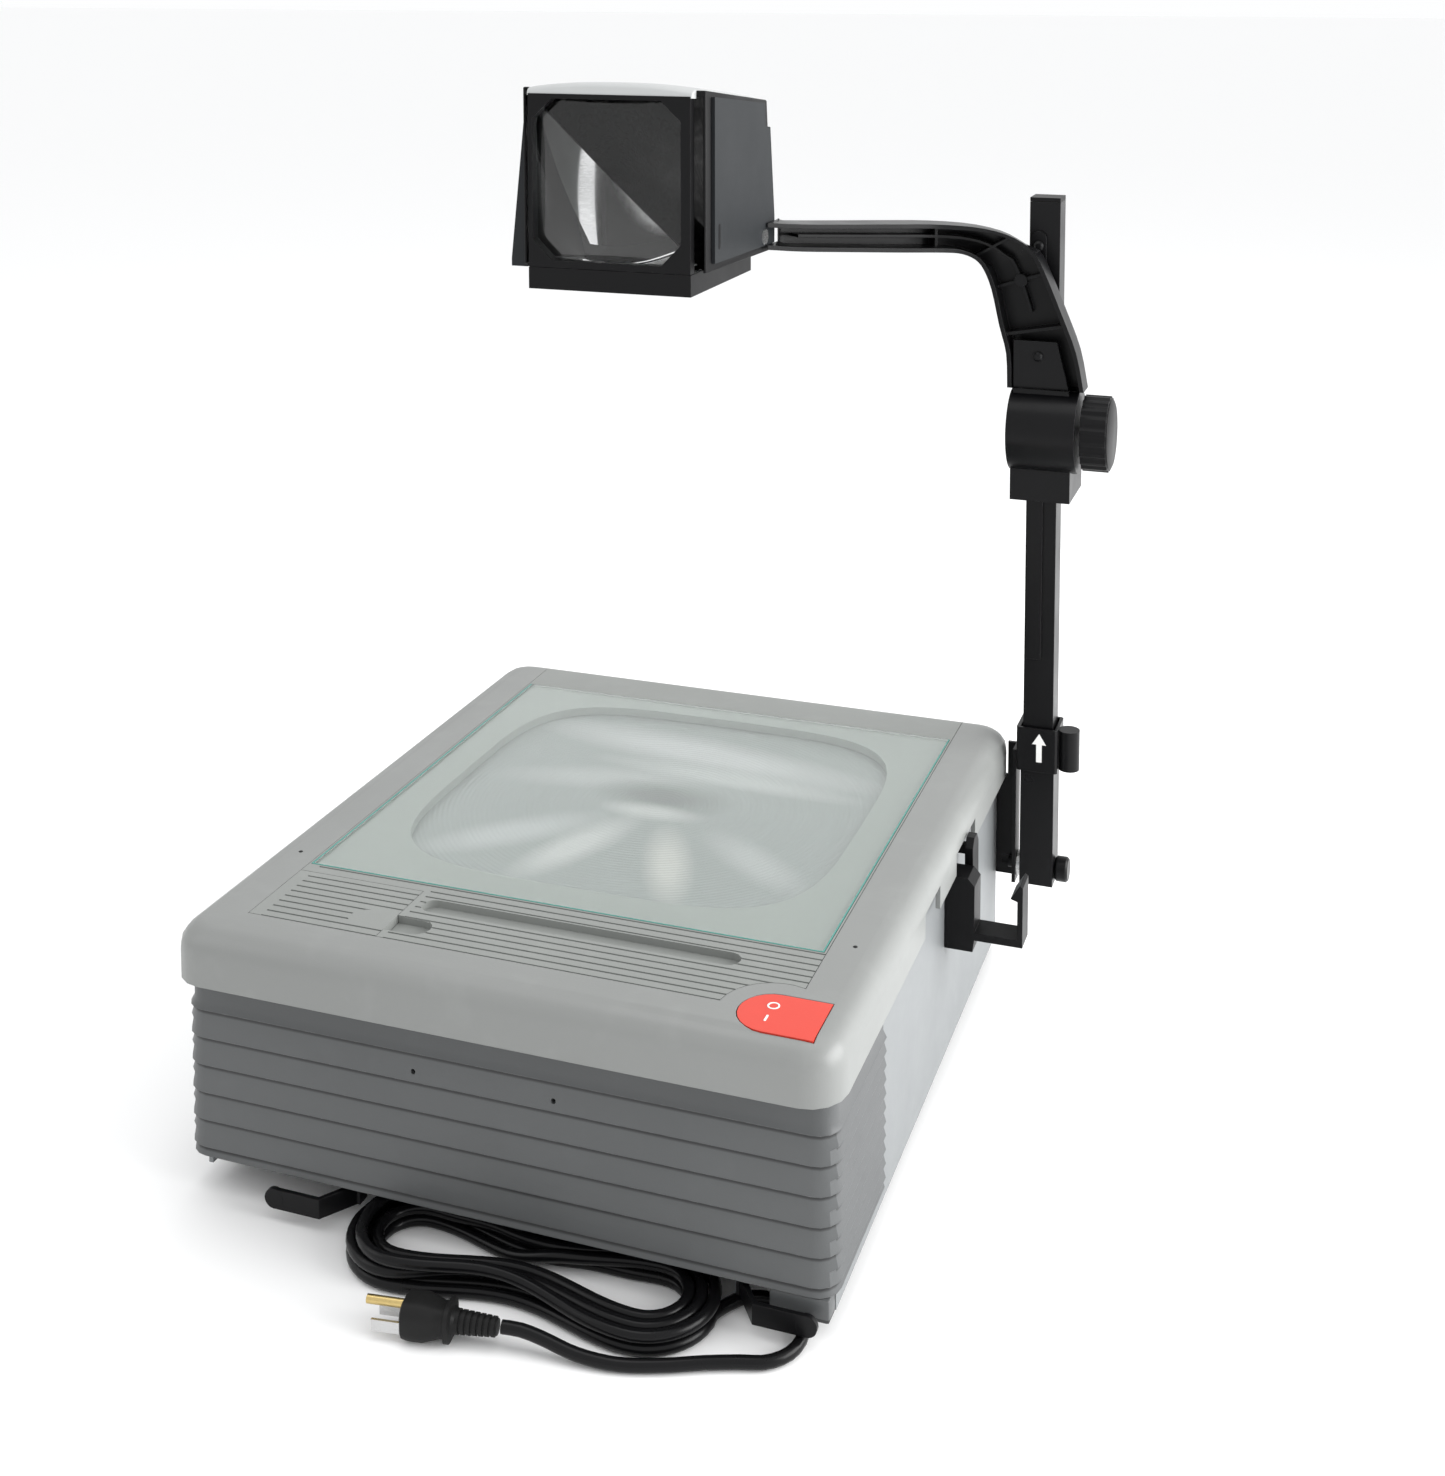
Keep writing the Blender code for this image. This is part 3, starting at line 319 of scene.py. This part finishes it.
def lid_plastic():
    """The lid's grey, with the pale green-grey printed border where it lies under the glass."""
    finish = moulded("lid_grey_plastic", (0.235, 0.245, 0.235), 0.5)
    low = finish.maths("LESS_THAN", finish.axis("Z"), BORDER_TOP_Z)
    behind_front = finish.maths("GREATER_THAN", finish.axis("Y"), BORDER_FRONT_Y)
    under_glass = finish.maths("MULTIPLY", low, behind_front)
    return finish.mix_colour(under_glass, (0.455, 0.495, 0.46)).material


def panel_plastic():
    """The dark grey of the ribbed panel, with painted shade under the lip of each rib.

    The ribs are one pitch apart on the sides and two on the front.
    """
    # The lips of the ribs are lightened, partly as wear, partly as painted highlight
    finish = moulded("panel_plastic", (0.08, 0.084, 0.086), 0.4, wear_and_highlight=(0.28, 0.28, 0.28), mottle=0.25)
    on_front = finish.maths("LESS_THAN", finish.axis("Y"), PANEL_FRONT_Y)
    pitch = finish.maths("MULTIPLY_ADD", on_front, RIB_PITCH)
    pitch.node.inputs[2].default_value = RIB_PITCH
    below = finish.maths("SUBTRACT", RIB_TOP_Z, finish.axis("Z"))
    phase = finish.maths("FRACT", finish.maths("DIVIDE", below, pitch), 0.0)
    depth = finish.maths("MULTIPLY", phase, pitch)
    # Painted shade: a dark band under the lip of each rib
    shade = finish.span(depth, 1.0, 0.0, *RIB_SHADE)
    below_top = finish.maths("GREATER_THAN", below, -0.0002)
    return finish.mix_colour(finish.maths("MULTIPLY", shade, below_top), (0.016, 0.017, 0.018)).material


def metal(name, colour, roughness, stretch=(1, 1, 30)):
    """Bare metal with a fine grain along one axis."""
    finish = Finish(name, colour, roughness, 1.0)
    finish.mix_colour(finish.span(finish.noise(40), 0.0, 0.5), [c * 0.75 for c in colour])
    finish.rough(finish.span(finish.noise(300, 3, stretch), roughness - 0.08, roughness + 0.12))
    finish.bump(finish.noise(500, 2, stretch), 0.00003, 0.4)
    return finish.material


def clear(name, colour, roughness=0.02, ior=1.5):
    """Glass with a few smears."""
    finish = Finish(name, colour, roughness)
    finish.set("Transmission Weight", 1.0).set("IOR", ior)
    finish.rough(finish.span(finish.noise(18, 4), roughness, roughness + 0.03))
    finish.bump(finish.noise(30, 2), 0.00002, 0.15)
    return finish.material


def fresnel_sheet():
    """Clear acrylic cut with fine rings, in a milky colour, with soft lobes of painted reflection and one of
    painted shade.
    """
    finish = Finish("fresnel_acrylic", (0.50, 0.545, 0.525), 0.2)
    finish.set("Transmission Weight", 0.25).set("IOR", 1.49)
    centre = finish.tree.nodes.new("ShaderNodeMapping")
    centre.inputs["Location"].default_value = -point(0, STAGE_Y, FRESNEL_Z)
    finish.tree.links.new(finish.coordinates, centre.inputs["Vector"])
    rings = finish.tree.nodes.new("ShaderNodeTexWave")
    rings.wave_type = "RINGS"
    rings.rings_direction = "Z"
    rings.inputs["Scale"].default_value = 95.0
    rings.inputs["Distortion"].default_value = 0.0
    finish.tree.links.new(centre.outputs["Vector"], rings.inputs["Vector"])
    finish.bump(rings.outputs["Fac"], 0.0005, 0.35)
    # Each lobe is painted reflection, except the dark one, which is painted shade
    for x, y, half_x, half_y, turn, strength, tint in FRESNEL_PAINTED_LIGHT:
        painted_lobe = finish.tree.nodes.new("ShaderNodeTexGradient")
        painted_lobe.gradient_type = "SPHERICAL"
        place = finish.tree.nodes.new("ShaderNodeMapping")
        place.vector_type = "TEXTURE"
        place.inputs["Location"].default_value = (x, y, 0.0)
        place.inputs["Rotation"].default_value = (0.0, 0.0, math.radians(turn))
        place.inputs["Scale"].default_value = (half_x, half_y, 1.0)
        finish.tree.links.new(centre.outputs["Vector"], place.inputs["Vector"])
        finish.tree.links.new(place.outputs["Vector"], painted_lobe.inputs["Vector"])
        finish.mix_colour(finish.span(painted_lobe.outputs["Fac"], 0.0, strength, 0.0, 0.7), tint)
    return finish.material


LIGHT_GREY = moulded(
    "light_grey_plastic", (0.225, 0.232, 0.226), 0.4, wear_and_highlight=(0.34, 0.34, 0.33), mottle=0.3
).material
LID_GREY = lid_plastic()
# The walls are the light grey plastic made darker: painted shade against the strong light from the right
SHADED_WALL_GREY = moulded("wall_grey_painted_shade", (0.2, 0.21, 0.215), 0.5, mottle=0.25).material
DARK_GREY = panel_plastic()
BLACK_PLASTIC = moulded(
    "black_plastic", (0.0045, 0.0045, 0.005), 0.4, depth=0.00003, wear_and_highlight=(0.05, 0.05, 0.05), mottle=0.1,
    scuffs=0.1, level=0.15,
).material
HEAD_COVER = moulded(
    "head_cover_plastic", (0.011, 0.013, 0.015), 0.48, depth=0.00004, scuffs=0.1, level=0.25
).material
# Light grey on the head's top: painted reflection
HEAD_TOP_REFLECTION = moulded("head_top_painted_reflection", (0.46, 0.47, 0.47), 0.4, depth=0.00003).material
BLACK_PAINT = painted("black_paint", (0.004, 0.004, 0.0045), 0.3)
RUBBER = moulded("rubber", (0.008, 0.008, 0.008), 0.5, grain=500, level=0.2).material
CORD_SHEATH = moulded(
    "cord_sheath", (0.004, 0.004, 0.0045), 0.25, grain=300, depth=0.00002, mottle=0.1, scuffs=0.1, level=0.2
).material
RED = moulded("red_switch", (0.62, 0.045, 0.025), 0.35, depth=0.00003, mottle=0.2, scuffs=0.2).material
WHITE_MARK = moulded("white_mark", (0.82, 0.82, 0.8), 0.5, depth=0.00001).material
STEEL = metal("bright_steel", (0.6, 0.6, 0.6), 0.28)
BRASS = metal("brass", (0.62, 0.47, 0.2), 0.3)
MIRROR = metal("mirror", (0.92, 0.92, 0.93), 0.09)
GLASS = clear("clear_glass", (0.955, 0.985, 0.975))
LENS_GLASS = clear("lens_glass", (0.98, 0.985, 0.98), 0.01)
GLASS_EDGE = moulded("glass_edge", (0.05, 0.26, 0.22), 0.15, depth=0.00001).material
FRESNEL = fresnel_sheet()

NODE_FINISHES = {
    LIGHT_GREY: ("top_cover",),
    LID_GREY: ("stage_lid", "lamp_door"),
    SHADED_WALL_GREY: ("base_shell",),
    DARK_GREY: ("front_panel", "corner_block"),
    BLACK_PLASTIC: (
        "lamp_change_lever", "focus_knob", "post_cap", "post_cradle", "switch_body", "fan_frame", "fan_rotor",
        "head_hood", "lens_housing", "head_front_frame",
    ),
    BLACK_PAINT: (
        "base_pan", "hinge_bracket", "post_sleeve", "post_tube", "lock_collar", "focus_carriage",
        "projection_arm", "rack_strip", "cord_hook_left", "cord_hook_right", "rack_screw", "carriage_screw",
        "pivot_bolt", "changer_link",
    ),
    RUBBER: (
        "rubber_foot_front_left", "rubber_foot_front_right", "rubber_foot_rear_left", "rubber_foot_rear_right",
        "cord_gland", "plug_body",
    ),
    CORD_SHEATH: ("cord_lead", "cord_hank", "cord_tail"),
    RED: ("power_switch",),
    GLASS: ("stage_glass", "lamp_in_use", "lamp_spare"),
    LENS_GLASS: ("condenser_lens", "objective_lens", "front_lens"),
    FRESNEL: ("fresnel_lens",),
    STEEL: (
        "lamp_tray", "condenser_bracket", "pivot_washer", "head_tilt_pin", "focus_pinion", "plug_blade_front",
        "plug_blade_rear",
    ),
    BRASS: ("plug_ground_pin",),
    MIRROR: ("head_mirror", "lamp_reflector"),
}


def shade_rounds(node):
    """Shades a node's curved faces smooth and keeps its corners sharp, without touching its own points."""
    mesh = node.data
    if "custom_normal" in mesh.attributes:
        mesh.attributes.remove(mesh.attributes["custom_normal"])
    mesh.shade_smooth()
    weld = node.modifiers.new("weld", "WELD")
    weld.merge_threshold = WELD_DISTANCE
    split = node.modifiers.new("sharp_corners", "EDGE_SPLIT")
    split.split_angle = math.radians(CORNER_ANGLE)


for finish, names in NODE_FINISHES.items():
    for name in names:
        materials = NODES[name].data.materials
        materials.clear()
        materials.append(finish)
        shade_rounds(NODES[name])


# ---------------------------------------------------------------- camera


def make_camera():
    """The photograph's view, with the shift that its framing needs."""
    data = bpy.data.cameras.new("camera")
    data.lens = 48.16
    data.sensor_width = 36.0
    data.sensor_fit = "HORIZONTAL"
    data.shift_x = -0.002
    data.shift_y = -0.4167
    camera = linked("camera", data)
    camera.location = (0.42375, -1.1483, 0.7231)
    forward = Vector((-0.329, 0.9405, -0.0853)).normalized()
    camera.rotation_euler = forward.to_track_quat("-Z", "Y").to_euler()
    bpy.context.scene.camera = camera


make_camera()


# ---------------------------------------------------------------- cord and plug


def ease(t):
    """A smooth step from 0 to 1."""
    t = min(max(t, 0.0), 1.0)
    return t * t * (3 - 2 * t)


def hank_place(travel, radius):
    """A place on the loop, from the travel along its middle track in millimetres.

    It goes round the right end, along the back to the left end, round it, and back along the front.
    """
    middle = TRACKS[1]
    right, left = Vector(HANK_RIGHT), Vector(HANK_LEFT)
    straight = (right - left).length
    half = math.pi * middle
    travel %= 2 * (straight + half)
    tilt = math.atan2(right.y - left.y, right.x - left.x)
    if travel < half:
        angle = tilt - math.pi / 2 + travel / middle
        return right + Vector((math.cos(angle), math.sin(angle))) * radius
    travel -= half
    side = Vector((-math.sin(tilt), math.cos(tilt)))
    if travel < straight:
        share = travel / straight
        return right + (left - right) * share + side * (radius - PINCH * math.sin(math.pi * share) ** 2)
    travel -= straight
    if travel < half:
        angle = tilt + math.pi / 2 + travel / middle
        return left + Vector((math.cos(angle), math.sin(angle))) * radius
    share = (travel - half) / straight
    return left + (right - left) * share - side * (radius - PINCH * math.sin(math.pi * share) ** 2)


def hank_points():
    """The stowed turns from where the lead lies on top of them to where the tail leaves."""
    straight = (Vector(HANK_RIGHT) - Vector(HANK_LEFT)).length
    half = math.pi * TRACKS[1]
    loop = 2 * (straight + half)
    layers = [CORD_LOW_Z + CORD_PITCH * i for i in range(3)]
    back, front = half, 2 * half + straight
    # Each change of track is (turn, place along the loop, length, radius, height)
    changes = [
        (0, front - 40, 45, TRACKS[2], layers[2]),
        (0, front + 45, 75, TRACKS[2], layers[1]),
        (1, front - 5, 45, TRACKS[1], layers[1]),
        (2, back + 96, 40, TRACKS[0], layers[1]),
        (3, back + 54, 40, TRACKS[0], layers[0]),
        (4, back + 12, 40, TRACKS[1], layers[0]),
        (5, back - 30, 40, TRACKS[2], layers[0]),
    ]
    travel = back + HANK_START
    end = TURNS * loop + half * HANK_END
    points = []
    while travel < end:
        radius, height = TRACKS[1], layers[2]
        for turn, start, length, new_radius, new_height in changes:
            share = ease((travel - turn * loop - start) / length)
            radius += (new_radius - radius) * share
            height += (new_height - height) * share
        place = hank_place(travel, radius)
        points.append((place.x, place.y, height))
        travel += HANK_STEP
    return points


def smooth_route(knots, spacing):
    """Even steps along a curve that passes through every given point."""
    steps = 12
    knots = [Vector(k) for k in knots]
    knots = [knots[0] * 2 - knots[1]] + knots + [knots[-1] * 2 - knots[-2]]
    fine = []
    for a, b, c, d in zip(knots, knots[1:], knots[2:], knots[3:]):
        for i in range(steps):
            t = i / steps
            second = (2 * a - 5 * b + 4 * c - d) * t * t
            third = (3 * b - a - 3 * c + d) * t ** 3
            fine.append(0.5 * (2 * b + (c - a) * t + second + third))
    fine.append(knots[-2])
    route, walked = [fine[0]], 0.0
    for a, b in zip(fine, fine[1:-1]):
        walked += (b - a).length
        if walked >= spacing:
            route.append(b)
            walked = 0.0
    return route + [fine[-1]]


def make_cord():
    """The whole cord as one round curve, from the gland to the plug."""
    curve = bpy.data.curves.new("power_cord", "CURVE")
    curve.dimensions = "3D"
    curve.bevel_depth = CORD_D / 2 * MM
    curve.bevel_resolution = 4
    curve.use_fill_caps = True
    route = smooth_route(CORD_LEAD + hank_points() + CORD_TAIL, CORD_STEP)
    spline = curve.splines.new("POLY")
    spline.points.add(len(route) - 1)
    for spline_point, co in zip(spline.points, route):
        spline_point.co = (*point(*co), 1)
    curve.materials.append(CORD_SHEATH)
    cord = linked("power_cord", curve)
    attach(cord, "base")
    return cord


def make_plug():
    """A moulded grip with a waist, a flange and a ribbed strain relief."""
    sides, flute_depth, grip_end, relief_start, relief_ribs = 32, 0.03, -2, 8, 7
    # Each section is (place along the plug, half width, half height)
    sections = [
        (-20, 9.2, 9.0), (-19, 10.6, 10.2), (-16, 11, 10.6), (-8, 11, 10.6), (-3, 9.6, 9.2), (1, 8.2, 8.0),
        (3.4, 8.4, 8.2), (4.2, 10.2, 9.8), (6.6, 10.2, 9.8), (7.4, 6.8, 6.6),
    ]
    for i in range(relief_ribs):
        start, size = 9 + 3.3 * i, 6.2 - 0.2 * i
        sections += [(start, size, size), (start + 1.9, size, size), (start + 2.1, size - 0.9, size - 0.9)]
        sections.append((start + 3.0, size - 0.9, size - 0.9))
    bm = bmesh.new()
    rings = []
    for x, width, height in sections:
        power = 2 / 3.0 if x < relief_start else 1.0
        ring = []
        for i in range(sides):
            a = math.tau * i / sides
            ridge = 1.0 - (flute_depth if x < grip_end and i % 4 == 0 else 0.0)
            y = math.copysign(abs(math.cos(a)) ** power, math.cos(a)) * width * ridge
            z = math.copysign(abs(math.sin(a)) ** power, math.sin(a)) * height * ridge
            ring.append(bm.verts.new((x, y, z)))
        rings.append(ring)
    for a, b in zip(rings, rings[1:]):
        for i in range(sides):
            j = (i + 1) % sides
            bm.faces.new((a[i], a[j], b[j], b[i]))
    bm.faces.new(rings[0])
    bm.faces.new(rings[-1])
    bm.transform(Matrix.Translation((0, -285, 11.0)) @ Matrix.Rotation(math.radians(8), 4, "Z"))
    plug = place_mesh("plug_moulding", bm, RUBBER, "base", 35)
    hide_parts("plug_body")
    return plug


power_cord = make_cord()
plug_moulding = make_plug()
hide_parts("cord_lead", "cord_hank", "cord_tail")


# ---------------------------------------------------------------- stage and controls


def glass_edges():
    """The green edge of the stage glass, just above its bevel."""
    width, low, high = 0.9, TOP_Z - 0.3, TOP_Z + 0.12
    x, front, rear = GLASS_X, GLASS_FRONT_Y, GLASS_REAR_Y
    strips = {
        "front": [(-x, front), (x, front), (x, front + width), (-x, front + width)],
        "right": [(x - width, front + width), (x, front + width), (x, rear), (x - width, rear)],
        "left": [(-x, front + width), (width - x, front + width), (width - x, rear), (-x, rear)],
    }
    for name, outline in strips.items():
        edge = softened(extruded(outline, low, high), 0.1, 1)
        strip = place_mesh(f"glass_edge_{name}", edge, GLASS_EDGE, "lid")


def switch_marks():
    """The usual O for off and I for on."""
    profile = [(3.3, 0.3), (3.5, 0.15), (3.5, -0.3), (2.5, -0.3), (2.5, 0.15), (2.7, 0.3), (3.3, 0.3)]
    ring = turned(profile, Matrix.Translation((157, -198, TOP_Z)))
    place_mesh("switch_mark_off", ring, WHITE_MARK, "switch")
    bar = extruded(rounded_rectangle(156.4, 157.6, -214, -208, 0.5, 3), TOP_Z - 0.3, TOP_Z + 0.25)
    place_mesh("switch_mark_on", bar, WHITE_MARK, "switch")


def collar_arrow():
    """The arrow that shows which way the collar slides."""
    x, base, top = 229.5, 154.5, 175.5
    neck = top - 8
    outline = [
        (x - 2, base), (x + 2, base), (x + 2, neck), (x + 5, neck), (x, top), (x - 5, neck), (x - 2, neck),
    ]
    to_front = Matrix.Rotation(math.pi / 2, 4, "X")
    place_mesh("collar_arrow", extruded(outline, -200.6, -199.75, to_front), WHITE_MARK, "collar")


def cover_pins():
    """The small dark pins in the top cover, beside the front of the glass."""
    profile = [(0, 0.25), (1.2, 0.2), (1.6, -0.2), (1.6, -1), (0, -1)]
    for i, x in enumerate((181.7, -181.7)):
        pin = turned(profile, Matrix.Translation((x, -122.5, TOP_Z)), 16)
        place_mesh(f"cover_pin_{i}", pin, BLACK_PLASTIC, "base")


glass_edges()
switch_marks()
collar_arrow()
cover_pins()


# ---------------------------------------------------------------- head


def front_lens():
    """A convex lens behind the eight-sided window."""
    half_x, middle_z, half_z = 52.5, 592.0, 52.0
    front_y, back_y, depth = -40.7, -37.0, 6.2
    count = 28
    bm = bmesh.new()
    front, back = [], []
    for i in range(count + 1):
        u = 2 * i / count - 1
        front_row, back_row = [], []
        for j in range(count + 1):
            v = 2 * j / count - 1
            bulge = depth * (1 - u * u) * (1 - v * v)
            x, z = u * half_x, middle_z + v * half_z
            front_row.append(bm.verts.new((x, front_y - bulge, z)))
            back_row.append(bm.verts.new((x, back_y, z)))
        front.append(front_row)
        back.append(back_row)
    for i in range(count):
        for j in range(count):
            bm.faces.new((front[i][j], front[i + 1][j], front[i + 1][j + 1], front[i][j + 1]))
            bm.faces.new((back[i][j], back[i][j + 1], back[i + 1][j + 1], back[i + 1][j]))
    for k in range(count):
        bm.faces.new((front[k][0], back[k][0], back[k + 1][0], front[k + 1][0]))
        bm.faces.new((front[k][count], front[k + 1][count], back[k + 1][count], back[k][count]))
        bm.faces.new((front[0][k], front[0][k + 1], back[0][k + 1], back[0][k]))
        bm.faces.new((front[count][k], back[count][k], back[count][k + 1], front[count][k + 1]))
    lens = place_mesh("front_lens_convex", bm, LENS_GLASS, "head", 60)
    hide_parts("front_lens")


def against_hood(bm, side):
    """Moves a flat piece out to the hood's side, which spreads towards the rear."""
    for vert in bm.verts:
        vert.co.x += side * (61.2 + 6 * (vert.co.y + 40) / 116)
    return bm


def side_covers():
    """Thin covers over the hood's sides, stepped at the back, with a small slot low at the front."""
    outline = [(-31, 542), (72.5, 542), (72.5, 560), (64.5, 620), (56, 621), (54, 636.5), (-31, 645.5)]
    for side, name in ((-1, "left"), (1, "right")):
        to_side = Matrix(((0, 0, side, 0), (1, 0, 0, 0), (0, 1, 0, 0), (0, 0, 0, 1)))
        panel = against_hood(softened(extruded(outline, 0.0, 2.6, to_side), 0.8), side)
        cover = place_mesh(f"head_side_cover_{name}", panel, HEAD_COVER, "head")
        slot = extruded(rounded_rectangle(-25, -22.4, 550, 566, 1.2, 4), 2.3, 2.8, to_side)
        place_mesh(f"head_cover_slot_{name}", against_hood(slot, side), BLACK_PLASTIC, "head")


def top_cover():
    """The head's top, rounded over at the front and crowned across, coloured light grey as a painted
    reflection.
    """
    profile = [
        (-47.6, 647.0), (-47.4, 649.0), (-46.2, 650.6), (-43.5, 651.6), (-30, 651.8), (15, 647.2), (58, 641.6),
        (58, 639.6), (-46, 646.9),
    ]
    front_y, length = -48.0, 106.0
    upper_points, drop = range(1, 7), 1.6
    count = 16
    bm = bmesh.new()
    rows = []
    for i in range(count + 1):
        u = 2 * i / count - 1
        crown = 1 - abs(u) ** 2.4
        row = []
        for k, (y, z) in enumerate(profile):
            share = (y - front_y) / length
            half_width = 55 + 4.5 * share
            rise = crown * (3.6 - 2.2 * share) if k in upper_points else 0.0
            row.append(bm.verts.new((u * half_width, y, z - drop + rise)))
        rows.append(row)
    for a, b in zip(rows, rows[1:]):
        for k in range(len(profile)):
            j = (k + 1) % len(profile)
            bm.faces.new((a[k], a[j], b[j], b[k]))
    bm.faces.new(rows[0])
    bm.faces.new(rows[-1])
    cover = place_mesh("head_top_cover_painted_reflection", bm, HEAD_TOP_REFLECTION, "head", 50)


def left_flap():
    """The wedge at the head's left side, which widens downwards."""
    low, high = (-73.0, 534.5), (-61.8, 647.5)
    bm = bmesh.new()
    corners = []
    for y, spread in ((-34.0, 0.0), (66.0, 4.0)):
        top = high[1] - spread * 2.4
        outline = [
            (-61.6 - spread * 0.9, low[1]), (low[0] - spread, low[1]), (low[0] - spread, low[1] + 5),
            (high[0] - spread, top), (-60.5 - spread, top),
        ]
        corners.append([bm.verts.new((x, y, z)) for x, z in outline])
    front, back = corners
    for k in range(len(front)):
        j = (k + 1) % len(front)
        bm.faces.new((front[k], front[j], back[j], back[k]))
    bm.faces.new(front)
    bm.faces.new(back)
    flap = place_mesh("head_left_flap", softened(bm, 0.6), HEAD_COVER, "head")


def objective_ring():
    """The bright ring that holds the objective lens, seen in the mirror."""
    profile = [
        (47, 536.6), (47.4, 536.2), (47.4, 531.2), (43.7, 531.2), (43.7, 536.2), (44.1, 536.6), (47, 536.6),
    ]
    ring = turned(profile, Matrix.Translation((0, LENS_Y, 0)), 64)
    place_mesh("objective_ring", ring, STEEL, "head")


front_lens()
side_covers()
top_cover()
left_flap()
objective_ring()


# ---------------------------------------------------------------- floor and light


def make_floor():
    """A plain pale floor, wide enough to fill the view."""
    bm = bmesh.new()
    bmesh.ops.create_grid(bm, x_segments=1, y_segments=1, size=30)
    mesh = bpy.data.meshes.new("floor")
    bm.to_mesh(mesh)
    bm.free()
    mesh.materials.append(Finish("pale_floor", (0.965, 0.965, 0.965), 0.75).material)
    floor = linked("floor", mesh)


def area_light(name, place, target, size, power):
    """A soft rectangular light that faces its target."""
    data = bpy.data.lights.new(name, "AREA")
    data.shape = "RECTANGLE"
    data.size, data.size_y = size
    data.energy = power
    light = linked(name, data)
    light.location = place
    light.rotation_euler = (Vector(target) - Vector(place)).to_track_quat("-Z", "Y").to_euler()


def make_light():
    """White surroundings, with a broad light from the right and weak ones from above and the left."""
    world = bpy.data.worlds.new("studio")
    bpy.context.scene.world = world
    world.use_nodes = True
    background = world.node_tree.nodes["Background"]
    background.inputs["Color"].default_value = (0.99, 0.995, 1.0, 1.0)
    background.inputs["Strength"].default_value = 1.0
    area_light("overhead", (-0.2, 0.1, 2.2), (0, 0, 0.1), (1.6, 1.2), 9)
    area_light("left", (-1.9, -1.0, 1.5), (0, 0, 0.3), (1.0, 1.4), 5)
    area_light("right", (1.9, 0.25, 0.85), (0.1, 0, 0.15), (2.2, 1.3), 60)


make_floor()
make_light()
bpy.context.scene.view_settings.view_transform = "Standard"
